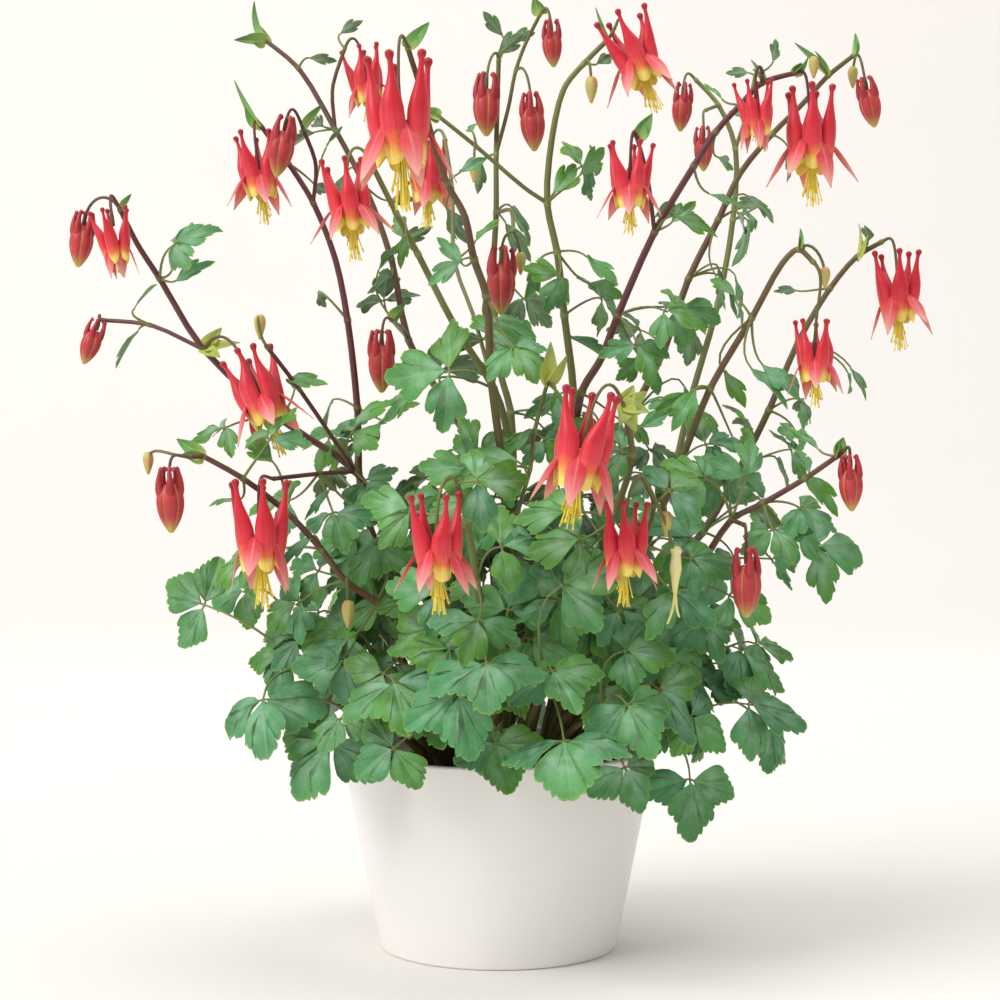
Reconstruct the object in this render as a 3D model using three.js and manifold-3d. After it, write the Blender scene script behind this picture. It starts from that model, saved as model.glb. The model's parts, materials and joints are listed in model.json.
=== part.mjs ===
import * as THREE from 'three';
import { mergeVertices } from 'three/addons/utils/BufferGeometryUtils.js';
import Module from 'manifold-3d';

// A red columbine growing in a plain tapered pot. Millimetres, +Z up, +Y away from the front.
// The origin is the centre of the pot's underside, on the surface that the pot stands on.

const wasm = await Module();
wasm.setup();
const { Manifold } = wasm;

// ---------------------------------------------------------------- driving dimensions
const GAP = 0.3; // clearance between separate pieces that touch
const UP = new THREE.Vector3(0, 0, 1);

const POT = {
  rimRadius: 65, footRadius: 48.5, height: 82, wall: 3, floor: 5, lip: 1.2, footBevel: 1.5, sides: 28,
};

const SOIL = { level: 74, mound: 2.5, bedRadius: 40, sides: 18 };
const SOCKET = { depth: 6, slack: 2.0, sides: 4 }; // plain holes in the soil, one for each stem foot
const LOW_LEAF_RING = 29; // radius of the ring on which the low leaves grow

const STEM = { tipRadius: 1.1, sides: 3 };
const BRANCH = { radius: 0.65, tipRadius: 1.1, sides: 3 };
// A pedicel sets out for this share of the way to its arch, and at least this far.
const PEDICEL = { radius: 0.5, tipRadius: 0.8, sides: 3, steps: 3, startShare: 0.45, startLeast: 2 };
// The stalk of a low leaf: its joint lies at this share of the way to its leaflets and this much
// higher, and its knee at these shares of the way to the joint, out and up.
const PETIOLE = {
  radius: 1.4, tipRadius: 1.1, footRadius: 1.8, sides: 3,
  jointShare: 0.72, jointRise: 5, kneeOut: 0.42, kneeUp: 0.62,
};
const BLADE = { thickness: 0.8, bend: 0.2, stalkHalfWidth: 0.4 };
// How a leaf faces: its upper side looks out and up, and its middle leaflet follows the stalk, drawn
// outwards and hanging by these shares, then turned by up to this many radians.
const FACING = { out: 0.8, up: 0.62, draw: 0.25, stemHang: 0.15, lowHang: 0.45, spin: 0.45 };

// A leaf has three leaflets at this angle to one another, which meet in a hub of this share of their
// length. Their half outlines are [along, across] shares: side lobe, cleft, middle lobe.
const LEAFLETS = { angle: THREE.MathUtils.degToRad(78), hub: 0.12 };
const BROAD_LEAFLET = [[0.6, 0.46], [0.68, 0.2], [1, 0]];
const NARROW_LEAFLET = [[0.54, 0.34], [0.6, 0.14], [1, 0]];
// The small leaves near the tips, up to this length, have one blade only.
const SIMPLE_SIZE = 13;
const SIMPLE_LEAF = [[0.3, 0.2], [0.62, 0.36], [0.66, 0.14], [1, 0]];

// The flower, as a bloom 49 mm long. Its ten-sided body is listed from the stamens up to the pedicel's
// seat as [radius on the petals, height there, radius between the petals, height there]: the petals
// are raised into spurs, and drop into short yellow blades round the stamens.
const BLOOM = {
  length: 49,
  rings: [
    [0, -24, 0, -24], [1.7, -22, 1.7, -22], [1.3, -12, 1.3, -12], [6.4, -14, 3.6, -9], [10.2, -3, 6.6, -4],
    [8.9, 25, 6.4, 1], [3.2, 2.4, 3.2, 2.4], [0, 1, 0, 1],
  ],
  sepal: { length: 15, halfWidth: 3.1, foot: [4.6, -1.5], slope: THREE.MathUtils.degToRad(-40) },
  pedicelSeat: 1,
  pedicelRise: 0.66,
};

// The closed bud, as one 27 mm long: a lantern with the young spurs standing over it.
const BUD = {
  length: 27,
  rings: [
    [0, -13.5, 0, -13.5], [4.4, -7, 3.4, -7], [6, 0.5, 4.8, 0.5], [4.4, 13.5, 3.6, 5.5],
    [1.8, 7.5, 1.8, 7.5], [0, 7, 0, 7],
  ],
  pedicelSeat: 7,
  pedicelRise: 0.85,
};
// A green young bud swells at the end of its own stalk: radii as shares of its length.
const YOUNG_BUD = { steps: 5, sides: 4, swelling: [0.24, 0.06], seat: -0.5 };

// The lists below are laid out as a front elevation: [x, z] as they look from SIGHT.distance in front
// of the pot's axis at SIGHT.height, so a point at depth y is moved out along its own line of sight.
const SIGHT = { distance: 900, height: 203 };

// Each stem: its foot in the soil, the depth of its tip, its line from foot to tip, then what grows on
// it. A branch is [point it leaves, depth of its tip, points]. Everything else starts with the line
// (0 is the stem, 1 the first branch) and the point of that line that bears it, then x, z and the
// step in depth. Leaves end with the leaflet length, bracts with their width, blooms and buds with
// their length, sideways lean and forward nod in degrees, and young buds with their length.
const STEMS = [
  {
    name: 'stem_far_left', crown: [-14, -8], depth: -35, radius: 1.5,
    line: [
      [-12, 105], [-28, 138], [-40, 163], [-59, 195], [-89, 216], [-121, 245], [-139, 274],
      [-148, 288], [-155, 302],
    ],
    branches: [
      [5, -10, [[-143, 255], [-162, 257]]],
      [3, -60, [[-82, 229], [-95, 246]]],
      [3, -72, [[-74, 194], [-92, 192]]],
    ],
    leaves: [
      [0, 6, -131, 283, 8, 13], [0, 4, -112, 213, -10, 14], [0, 4, -83, 233, 12, 12],
      [0, 3, -60, 208, 12, 15],
    ],
    bracts: [
      [0, 5, -108, 247, -5, 5], [0, 8, -151, 308, 4, 3],
    ],
    blooms: [
      [0, 5, -97, 224, -22, 46, 24, 10], [3, 2, -98, 166, -8, 50, 4, 6],
    ],
    buds: [
      [0, 8, -171, 290, 2, 22, -8, 0], [0, 8, -157, 288, -12, 27, 8, 0],
      [1, 2, -167, 248, -4, 19, -22, 0],
    ],
    young: [
      [2, 2, -98, 255, 0, 9],
    ],
  },
  {
    name: 'stem_low_left', crown: [-20, -16], depth: -85, radius: 1.4,
    line: [
      [-20, 117], [-36, 128], [-50, 141], [-63, 150], [-73, 163], [-87, 178], [-105, 192],
      [-121, 201],
    ],
    branches: [
      [7, -90, [[-127, 201]]],
    ],
    leaves: [
      [0, 3, -82, 141, 12, 17], [0, 2, -44, 160, 10, 16],
    ],
    bracts: [
      [0, 7, -132, 208, 4, 4],
    ],
    blooms: [],
    buds: [
      [1, 1, -135, 183, -4, 24, 2, 0],
    ],
    young: [
      [1, 1, -144, 199, 4, 8], [0, 3, -62, 137, -6, 10],
    ],
  },
  {
    name: 'stem_tall_left', crown: [-6, 14], depth: 85, radius: 1.5,
    line: [
      [-1, 126], [-9, 200], [-25, 228], [-37, 249], [-44, 282], [-55, 312], [-67, 335], [-82, 360],
      [-95, 371],
    ],
    branches: [
      [6, 75, [[-68, 352], [-63, 368]]],
      [3, 20, [[-39, 253], [-44, 257]]],
    ],
    leaves: [
      [0, 3, -47, 265, 14, 14], [0, 2, -24, 236, -10, 17], [0, 6, -74, 338, -8, 9],
      [1, 2, -62, 377, 4, 8],
    ],
    bracts: [
      [0, 8, -102, 384, 4, 5], [0, 8, -107, 371, -4, 5], [2, 2, -39, 263, 0, 4],
    ],
    blooms: [
      [1, 2, -54, 353, 4, 38, 6, 0],
    ],
    buds: [
      [2, 2, -48, 240, -6, 26, 0, 0],
    ],
    young: [],
  },
  {
    name: 'stem_left', crown: [-18, 3], depth: 30, radius: 1.5,
    line: [
      [-12, 109], [-41, 146], [-56, 183], [-58, 221], [-62, 257], [-67, 282], [-76, 305],
      [-86, 321], [-97, 336],
    ],
    branches: [
      [6, 12, [[-75, 321], [-80, 335]]],
    ],
    leaves: [
      [0, 3, -47, 216, -8, 14],
    ],
    bracts: [
      [0, 8, -110, 350, 4, 5], [1, 2, -74, 345, 3, 4],
    ],
    blooms: [
      [0, 8, -98, 316, -8, 41, 8, 4],
    ],
    buds: [
      [1, 2, -89, 328, -8, 25, -10, 0],
    ],
    young: [],
  },
  {
    name: 'stem_front_tall', crown: [-3, -12], depth: -100, radius: 1.5,
    line: [
      [1, 126], [3, 183], [-3, 233], [-5, 267], [-10, 282], [-14, 300], [-21, 313], [-27, 331],
      [-32, 352], [-37, 368],
    ],
    branches: [],
    leaves: [
      [0, 3, 6, 246, -6, 14], [0, 4, -21, 279, -8, 10],
    ],
    bracts: [
      [0, 9, -29, 377, 4, 4],
    ],
    blooms: [
      [0, 9, -40, 335, -12, 58, 3, 0],
    ],
    buds: [],
    young: [],
  },
  {
    name: 'stem_mid_left', crown: [-8, -3], depth: -55, radius: 1.5,
    line: [
      [6, 138], [4, 209], [-2, 229], [-17, 253], [-33, 284], [-42, 301], [-53, 323],
    ],
    branches: [
      [2, 30, [[-10, 258], [-18, 281], [-19, 311], [-22, 331]]],
    ],
    leaves: [
      [0, 2, -40, 224, -16, 12], [0, 3, -3, 250, 10, 14], [1, 3, -20, 298, 12, 12],
    ],
    bracts: [
      [0, 6, -44, 332, 3, 4],
    ],
    blooms: [
      [0, 6, -61, 303, -6, 41, 8, 4], [1, 4, -29, 314, 4, 40, 0, 0],
    ],
    buds: [],
    young: [],
  },
  {
    name: 'stem_centre', crown: [3, 8], depth: 60, radius: 1.5,
    line: [
      [4, 134], [6, 183], [5, 219], [0, 239], [-2, 279], [-1, 301], [-1, 325], [0, 363],
    ],
    branches: [
      [6, 40, [[4, 344], [7, 359], [11, 370], [17, 382]]],
      [5, 16, [[5, 302], [6, 294]]],
    ],
    leaves: [
      [0, 5, 9, 298, 10, 13], [0, 7, -1, 377, 4, 9], [0, 4, 10, 266, 10, 15],
    ],
    bracts: [
      [1, 4, 15, 388, 0, 4],
    ],
    blooms: [],
    buds: [
      [0, 7, -5, 345, -10, 27, 0, 0], [1, 4, 22, 370, -3, 20, 4, 0], [1, 2, 14, 338, -3, 25, 4, 0],
      [2, 2, 1, 273, -6, 28, 0, 0],
    ],
    young: [
      [2, 2, 9, 281, 4, 9],
    ],
  },
  {
    name: 'stem_mid_right', crown: [8, -4], depth: -18, radius: 1.5,
    line: [
      [15, 134], [29, 183], [31, 224], [27, 259], [24, 285], [20, 305], [22, 332], [27, 352],
      [35, 362], [44, 371],
    ],
    branches: [
      [5, -30, [[11, 311], [-9, 328], [-24, 340]]],
    ],
    leaves: [
      [0, 5, 34, 320, 6, 15], [0, 2, 42, 212, -14, 15],
    ],
    bracts: [
      [1, 3, -31, 343, 0, 4], [0, 9, 41, 383, 0, 4],
    ],
    blooms: [
      [0, 9, 57, 363, -4, 44, 22, 4],
    ],
    buds: [],
    young: [
      [0, 8, 38, 352, -4, 10], [1, 2, -10, 319, -4, 9],
    ],
  },
  {
    name: 'stem_right', crown: [12, -13], depth: -45, radius: 1.5,
    line: [
      [19, 134], [28, 183], [34, 227], [42, 241], [49, 259], [64, 293], [80, 320], [89, 334],
      [99, 345], [108, 354], [121, 358],
    ],
    branches: [
      [5, -58, [[61, 316], [57, 331]]],
      [9, -50, [[108, 358]]],
    ],
    leaves: [
      [0, 4, 57, 247, -8, 16], [0, 4, 73, 262, 10, 17], [0, 5, 75, 301, 8, 12],
    ],
    bracts: [
      [0, 9, 104, 363, 3, 4], [0, 10, 127, 363, 0, 4], [1, 2, 63, 340, 3, 4],
    ],
    blooms: [
      [0, 10, 128, 329, -3, 48, 2, 2], [1, 2, 54, 312, -4, 37, 0, 2],
    ],
    buds: [
      [2, 1, 106, 340, -6, 27, 4, 0],
    ],
    young: [],
  },
  {
    name: 'stem_tall_right', crown: [17, 8], depth: 60, radius: 1.5,
    line: [
      [31, 138], [44, 183], [55, 218], [68, 245], [78, 274], [90, 298], [99, 317], [112, 333],
      [124, 345], [135, 357], [145, 365],
    ],
    branches: [],
    leaves: [
      [0, 5, 104, 302, -6, 13], [0, 4, 97, 269, 6, 13], [0, 2, 70, 224, -10, 14],
    ],
    bracts: [
      [0, 9, 124, 370, 3, 4], [0, 10, 147, 373, 3, 4],
    ],
    blooms: [],
    buds: [
      [0, 10, 152, 346, -4, 22, 12, 0],
    ],
    young: [
      [0, 9, 129, 361, -3, 9], [0, 10, 145, 357, 6, 9],
    ],
  },
  {
    name: 'stem_back_right', crown: [12, 18], depth: 110, radius: 1.5,
    line: [
      [25, 126], [54, 167], [71, 194], [79, 225], [90, 264], [96, 298], [97, 327], [90, 345],
      [81, 355],
    ],
    branches: [
      [6, 105, [[102, 343], [105, 357]]],
      [7, 98, [[85, 343]]],
    ],
    leaves: [
      [1, 2, 99, 359, 6, 9], [0, 5, 103, 291, 12, 13], [0, 2, 83, 196, 14, 17],
      [0, 1, 62, 146, 20, 18],
    ],
    bracts: [],
    blooms: [],
    buds: [
      [0, 8, 75, 344, -4, 22, -4, 0], [2, 1, 84, 327, -4, 20, 0, 0],
    ],
    young: [],
  },
  {
    name: 'stem_right_middle', crown: [20, -5], depth: -60, radius: 1.4,
    line: [
      [40, 126], [58, 159], [75, 199], [87, 229], [104, 258], [117, 281], [123, 286], [129, 281],
    ],
    branches: [],
    leaves: [
      [0, 4, 109, 232, -6, 13], [0, 3, 79, 223, -10, 13], [0, 2, 89, 193, 8, 16],
    ],
    bracts: [
      [0, 6, 124, 293, 3, 4],
    ],
    blooms: [
      [0, 7, 130, 240, -2, 35, 2, 2],
    ],
    buds: [],
    young: [
      [0, 6, 134, 275, 4, 8],
    ],
  },
  {
    name: 'stem_far_right', crown: [22, 4], depth: 25, radius: 1.5,
    line: [
      [42, 122], [62, 146], [84, 170], [99, 196], [111, 220], [123, 248], [136, 270], [147, 283],
      [157, 289],
    ],
    branches: [],
    leaves: [
      [0, 4, 124, 224, 8, 14], [0, 3, 120, 204, -10, 14], [0, 5, 145, 232, 4, 11],
      [0, 2, 108, 183, 12, 16],
    ],
    bracts: [
      [0, 7, 150, 295, 3, 6],
    ],
    blooms: [
      [0, 8, 164, 266, -3, 44, 2, 2],
    ],
    buds: [],
    young: [],
  },
  {
    name: 'stem_low_right', crown: [21, -16], depth: -75, radius: 1.4,
    line: [
      [38, 115], [58, 134], [75, 148], [84, 158], [96, 175], [109, 182], [126, 192], [139, 201],
    ],
    branches: [
      [4, -82, [[101, 173]]],
    ],
    leaves: [
      [0, 5, 131, 164, 8, 19], [0, 4, 94, 189, 8, 15], [0, 5, 113, 171, -8, 14],
    ],
    bracts: [
      [0, 7, 143, 208, 3, 4],
    ],
    blooms: [],
    buds: [
      [0, 7, 145, 190, -3, 21, 2, 0], [1, 1, 102, 149, -3, 26, 0, 0],
    ],
    young: [],
  },
  {
    name: 'stem_front_right', crown: [8, -23], depth: -105, radius: 1.5,
    line: [
      [23, 122], [38, 152], [47, 175], [55, 202], [51, 222],
    ],
    branches: [
      [1, -98, [[58, 165], [64, 181], [60, 191]]],
    ],
    leaves: [
      [0, 2, 34, 167, -8, 18], [0, 3, 63, 215, 6, 10],
    ],
    bracts: [
      [0, 4, 56, 213, -3, 7], [0, 4, 61, 226, 4, 5],
    ],
    blooms: [
      [0, 4, 34, 201, -14, 52, -10, 6], [1, 3, 52, 162, -4, 40, 0, 2],
    ],
    buds: [],
    young: [
      [1, 2, 69, 174, -2, 9], [1, 3, 73, 155, 6, 14],
    ],
  },
  {
    name: 'stem_front', crown: [-9, -23], depth: -112, radius: 1.5,
    line: [
      [-4, 115], [-9, 150], [-13, 175], [-17, 190],
    ],
    branches: [
      [0, -50, [[3, 142], [8, 178], [13, 196], [15, 212], [20, 231]]],
    ],
    leaves: [
      [1, 5, 25, 220, -6, 10], [0, 1, 1, 164, -6, 18],
    ],
    bracts: [
      [1, 5, 20, 246, 0, 5],
    ],
    blooms: [
      [0, 3, -25, 162, -6, 45, 3, 2],
    ],
    buds: [],
    young: [],
  },
];

const LOW_LEAVES = [
  { name: 'leaf_left', units: [[-97, 101, -58, 22], [-82, 126, -36, 17], [-121, 140, -30, 20]] },
  { name: 'leaf_front_left', units: [[-69, 84, -64, 19], [-63, 117, -60, 16], [-43, 108, -82, 19]] },
  { name: 'leaf_front_low_left', units: [[-43, 81, -84, 15], [-17, 94, -98, 19], [-27, 129, -68, 16]] },
  { name: 'leaf_front', units: [[-5, 116, -98, 20], [-1, 83, -84, 15], [4, 138, -78, 17]] },
  { name: 'leaf_front_low_right', units: [[27, 84, -104, 23], [22, 113, -90, 18], [26, 148, -88, 19]] },
  { name: 'leaf_front_right', units: [[52, 73, -80, 16], [53, 99, -90, 20], [52, 121, -74, 16]] },
  { name: 'leaf_right_low', units: [[79, 68, -66, 21], [79, 94, -58, 17], [103, 99, -44, 20]] },
  { name: 'leaf_right', units: [[99, 122, -20, 19], [112, 90, -8, 17], [85, 138, -36, 17]] },
];

// The leaves behind grow by rule, two tiers of three leaflet groups on each foot. The outer groups
// reach less far than the middle one by the draw.
const BACK_LEAVES = {
  names: ['leaf_back_right', 'leaf_back', 'leaf_back_left'],
  azimuths: [32, 90, 148],
  draw: 7,
  tiers: [
    { reach: 88, height: 99, spread: 18, turn: -4, leaflet: 20, climb: 4 },
    { reach: 60, height: 134, spread: 19, turn: -8, leaflet: 17, climb: 7 },
  ],
};

// ---------------------------------------------------------------- colours
const LOOKS = {
  pot: new THREE.MeshStandardMaterial({ color: '#efece8', roughness: 0.35, metalness: 0 }),
  soil: new THREE.MeshStandardMaterial({ color: '#3a2a20', roughness: 0.95, metalness: 0 }),
  leaf: new THREE.MeshStandardMaterial({ color: '#4f8060', roughness: 0.6, metalness: 0 }),
  stem: new THREE.MeshStandardMaterial({ color: '#5d6a42', roughness: 0.6, metalness: 0 }),
  bloom: new THREE.MeshStandardMaterial({ color: '#e0474c', roughness: 0.5, metalness: 0 }),
  bud: new THREE.MeshStandardMaterial({ color: '#b23a3c', roughness: 0.5, metalness: 0 }),
};

// ---------------------------------------------------------------- helpers
const { lerp, degToRad } = THREE.MathUtils;
const FINEST = 0.05; // the smallest step left in a joined surface
const WELD = 1e-3; // points closer than this are one
const SHEET_STEP = 0.02; // how far sheets of a surface that only touch are drawn apart
const POINTED_ROOT = 1.6; // how deep the foot of a sepal or bract is sunk
const TIP_ROOT = 1.2; // how far a stem or branch runs on past its last point
const STALK_MARK = -1000; // stands for a stalk's end in an outline, until the blade is set in place
const NEAR_AXIS = 5; // closer to the pot's axis than this, outward is to the front

function seen(x, z, y) {
  const scale = 1 + y / SIGHT.distance;
  return new THREE.Vector3(x * scale, y, SIGHT.height + (z - SIGHT.height) * scale);
}

// A repeatable draw between -1 and 1.
function scatter(seed) {
  const value = Math.sin(seed * 12.9898) * 43758.5453;
  return (value - Math.floor(value)) * 2 - 1;
}

function asSolid(geometry) {
  const bare = geometry.clone();
  bare.deleteAttribute('normal');
  bare.deleteAttribute('uv');
  const merged = mergeVertices(bare, WELD);
  return new Manifold(new wasm.Mesh({
    numProp: 3,
    vertProperties: merged.attributes.position.array,
    triVerts: Uint32Array.from(merged.index.array),
  }));
}

function asGeometry(solid) {
  const mesh = solid.getMesh();
  const geometry = new THREE.BufferGeometry();
  geometry.setAttribute('position', new THREE.BufferAttribute(Float32Array.from(mesh.vertProperties), 3));
  geometry.setIndex(new THREE.BufferAttribute(Uint32Array.from(mesh.triVerts), 1));
  geometry.computeVertexNormals();
  return geometry;
}

// Where two sheets of one surface only touch, each point is drawn towards its own sheet.
function drawSheetsApart(geometry) {
  const position = geometry.attributes.position;
  const index = geometry.index.array;
  const seats = new Map();
  for (let i = 0; i < position.count; i += 1) {
    const key = [0, 1, 2].map((axis) => Math.round(position.getComponent(i, axis) / (2 * WELD))).join();
    seats.set(key, [...(seats.get(key) ?? []), i]);
  }
  const touching = new Map();
  for (const points of seats.values()) {
    if (points.length > 1) points.forEach((point) => touching.set(point, new THREE.Vector3()));
  }
  const corner = new THREE.Vector3();
  for (let face = 0; face < index.length; face += 3) {
    const points = [...index.slice(face, face + 3)];
    for (const point of points.filter((candidate) => touching.has(candidate))) {
      const sheet = touching.get(point);
      const here = new THREE.Vector3().fromBufferAttribute(position, point);
      points.forEach((other) => sheet.add(corner.fromBufferAttribute(position, other).sub(here)));
    }
  }
  for (const [point, sheet] of touching) {
    sheet.setLength(SHEET_STEP).add(corner.fromBufferAttribute(position, point));
    position.setXYZ(point, sheet.x, sheet.y, sheet.z);
  }
}

function union(geometries) {
  return Manifold.union(geometries.map(asSolid));
}

function lathe(profile, sides) {
  const points = profile.map(([radius, height]) => new THREE.Vector2(radius, height));
  const geometry = new THREE.LatheGeometry(points, sides);
  geometry.rotateX(Math.PI / 2); // the lathe turns about Y; the plant's axis is Z
  geometry.rotateZ(Math.PI / 2); // one corner of the section lies on +X
  return geometry;
}

// A closed tube along a curve, with a ring at each equal step of its parameter, so that a line's rings
// lie on its points. The radius is a function of the share of the way.
function tube(curve, steps, sides, radius) {
  const rings = [];
  const normal = new THREE.Vector3(0.3, 0.8, 0.1);
  for (let step = 0; step <= steps; step += 1) {
    const share = step / steps;
    const tangent = curve.getTangent(share);
    normal.addScaledVector(tangent, -normal.dot(tangent)).normalize();
    const binormal = new THREE.Vector3().crossVectors(tangent, normal);
    rings.push({ centre: curve.getPoint(share), normal: normal.clone(), binormal, radius: radius(share) });
  }
  const geometry = new THREE.CylinderGeometry(1, 1, 1, sides, steps);
  const position = geometry.attributes.position;
  for (let i = 0; i < position.count; i += 1) {
    const ring = rings[Math.round((position.getY(i) + 0.5) * steps)];
    const point = ring.centre.clone();
    point.addScaledVector(ring.normal, position.getX(i) * ring.radius);
    point.addScaledVector(ring.binormal, -position.getZ(i) * ring.radius);
    position.setXYZ(i, point.x, point.y, point.z);
  }
  return geometry;
}

// A tube along a line of points, run on a little past the last so that what its tip bears has a root.
function lineTube(points, sides, from, to, grow) {
  const [before, last] = points.slice(-2);
  const end = last.clone().sub(before).setLength(TIP_ROOT).add(last);
  const curve = new THREE.CatmullRomCurve3([...points, end], false, 'centripetal');
  return tube(curve, points.length, sides, taper(from, to, grow));
}

function taper(from, to, grow) {
  return (share) => lerp(from, to, share) + grow;
}

// A flat outline given thickness, bent down away from its foot, then set on a frame of three axes.
// The two points at the end of its stalk are carried to stalkEnd.
function blade(outline, bend, frame, grow, stalkEnd) {
  const shape = new THREE.Shape(outline.map(([x, y]) => new THREE.Vector2(x, y)));
  const thickness = BLADE.thickness + 2 * grow;
  const geometry = new THREE.ExtrudeGeometry(shape, { depth: thickness, bevelEnabled: false });
  const position = geometry.attributes.position;
  const stalk = stalkEnd.clone().applyMatrix4(frame.clone().invert());
  const towards = stalk.clone().normalize().negate();
  const across = new THREE.Vector3(0, 1, 0).addScaledVector(towards, -towards.y).normalize();
  const through = new THREE.Vector3().crossVectors(towards, across);
  for (let i = 0; i < position.count; i += 1) {
    const x = position.getX(i);
    const y = position.getY(i);
    const z = position.getZ(i) - thickness / 2;
    if (x < STALK_MARK / 2) {
      const corner = stalk.clone().addScaledVector(across, y).addScaledVector(through, z);
      position.setXYZ(i, corner.x, corner.y, corner.z);
    } else {
      position.setZ(i, z - bend * (x * x + y * y));
    }
  }
  geometry.applyMatrix4(frame);
  return geometry;
}

function basis(origin, along, normal) {
  const across = new THREE.Vector3().crossVectors(normal, along);
  return new THREE.Matrix4().makeBasis(along, across, normal).setPosition(origin);
}

// The direction straight out from the pot's axis, or to the front on the axis itself.
function outward(point) {
  const out = new THREE.Vector3(point.x, point.y, 0);
  return out.length() < NEAR_AXIS ? new THREE.Vector3(0, -1, 0) : out.normalize();
}

// ---------------------------------------------------------------- leaves
// A leaf and its stalk in one thin blade's outline: three leaflets cut to the middle, or one alone.
function leafOutline(half, size, grow) {
  const full = size + grow;
  const hub = LEAFLETS.hub * full;
  const stalk = BLADE.stalkHalfWidth + grow;
  const turns = half === SIMPLE_LEAF ? [0] : [-LEAFLETS.angle, 0, LEAFLETS.angle];
  const points = [[STALK_MARK, stalk], [STALK_MARK, -stalk], [-hub, -stalk]];
  turns.forEach((turn, i) => {
    const right = half.map(([along, across]) => [along, -across]);
    const left = half.filter(([, across]) => across > 0).reverse();
    for (const [along, across] of [...right, ...left]) {
      points.push([
        full * (along * Math.cos(turn) - across * Math.sin(turn)),
        full * (along * Math.sin(turn) + across * Math.cos(turn)),
      ]);
    }
    const cleft = turn + LEAFLETS.angle / 2;
    if (i < turns.length - 1) points.push([hub * Math.cos(cleft), hub * Math.sin(cleft)]);
  });
  points.push([-hub, stalk]);
  return points;
}

function leafFrame(centre, from, hang, spin) {
  const out = outward(centre);
  const normal = out.clone().multiplyScalar(FACING.out).addScaledVector(UP, FACING.up).normalize();
  const along = new THREE.Vector3().subVectors(centre, from).normalize();
  along.addScaledVector(out, FACING.draw).addScaledVector(UP, -hang);
  along.addScaledVector(normal, -along.dot(normal)).normalize();
  along.applyAxisAngle(normal, spin);
  return basis(centre, along, normal);
}

function leafBlade(half, centre, from, size, hang, seed) {
  const frame = leafFrame(centre, from, hang, FACING.spin * scatter(seed));
  return (grow) => blade(leafOutline(half, size, grow), BLADE.bend / size, frame, grow, from);
}

// A small pointed blade with a ridge, widest in the middle; its foot is sunk into what bears it.
function pointedBlade(length, halfWidth, frame, grow) {
  const geometry = new THREE.OctahedronGeometry(1);
  geometry.scale(length / 2 + grow, halfWidth + grow, BLADE.thickness + grow);
  geometry.translate(length / 2 - POINTED_ROOT, 0, 0);
  return geometry.applyMatrix4(frame);
}

function bractBlade(from, to, width) {
  const along = new THREE.Vector3().subVectors(to, from).normalize();
  const normal = outward(to).addScaledVector(UP, 0.3);
  normal.addScaledVector(along, -along.dot(normal)).normalize();
  return (grow) => pointedBlade(from.distanceTo(to), width / 2, basis(from, along, normal), grow);
}

// ---------------------------------------------------------------- flowers
function hangingAxis(lean, nod) {
  const axis = new THREE.Vector3(-Math.sin(degToRad(lean)), Math.sin(degToRad(nod)), 1);
  return axis.normalize();
}

// A flower's own frame: up its axis, turned so that its stalk arrives between two spurs.
function flowerFrame(centre, axis, from) {
  const side = new THREE.Vector3().subVectors(from, centre);
  side.addScaledVector(axis, -side.dot(axis));
  if (side.length() < 0.5) side.set(1, 0, 0);
  side.normalize();
  const across = new THREE.Vector3().crossVectors(axis, side);
  return new THREE.Matrix4().makeBasis(side, across, axis).setPosition(centre);
}

function aroundAxis(count, offset, make) {
  return Array.from({ length: count }, (_, i) => {
    const turn = new THREE.Matrix4().makeRotationZ(((i + offset) / count) * Math.PI * 2);
    return make().applyMatrix4(turn);
  });
}

// A ten-sided lathe whose five petal sides follow one profile and the sides between them another.
function petalledBody(rings, scale, grow) {
  const geometry = lathe(rings.map((_, i) => [1, i]), 10);
  const position = geometry.attributes.position;
  for (let i = 0; i < position.count; i += 1) {
    const angle = Math.atan2(position.getY(i), position.getX(i));
    const between = Math.round(angle / (Math.PI / 5)) % 2 === 0;
    const ring = rings[Math.round(position.getZ(i))];
    const [radius, height] = between ? ring.slice(2) : ring;
    const reach = radius > 0 ? radius * scale + grow : 0;
    position.setXYZ(i, reach * Math.cos(angle), reach * Math.sin(angle), height * scale);
  }
  return geometry;
}

function bloomPieces(length, grow) {
  const scale = length / BLOOM.length;
  const { sepal } = BLOOM;
  const along = new THREE.Vector3(Math.cos(sepal.slope), 0, Math.sin(sepal.slope));
  const normal = new THREE.Vector3(-along.z, 0, along.x);
  const foot = new THREE.Vector3(sepal.foot[0] * scale, 0, sepal.foot[1] * scale);
  const frame = basis(foot, along, normal);
  return [
    petalledBody(BLOOM.rings, scale, grow),
    ...aroundAxis(5, 0, () => pointedBlade(sepal.length * scale, sepal.halfWidth * scale, frame, grow)),
  ];
}

function budPieces(length, grow) {
  return [petalledBody(BUD.rings, length / BUD.length, grow)];
}

// A stalk that leaves a line, arches over and comes down a flower's axis to just above its seat.
function pedicel(from, heading, centre, axis, seat, rise) {
  const end = centre.clone().addScaledVector(axis, seat + GAP);
  const over = centre.clone().addScaledVector(axis, rise);
  const reach = PEDICEL.startShare * from.distanceTo(over) + PEDICEL.startLeast;
  const first = from.clone().addScaledVector(heading, reach);
  return new THREE.CubicBezierCurve3(from, first, over, end);
}

// ---------------------------------------------------------------- the nodes
const nodes = []; // { name, look, woody: [grow => geometry], blades: [grow => geometry] }

function addNode(name, look, woody, blades = []) {
  nodes.push({ name, look, woody, blades });
}

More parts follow.
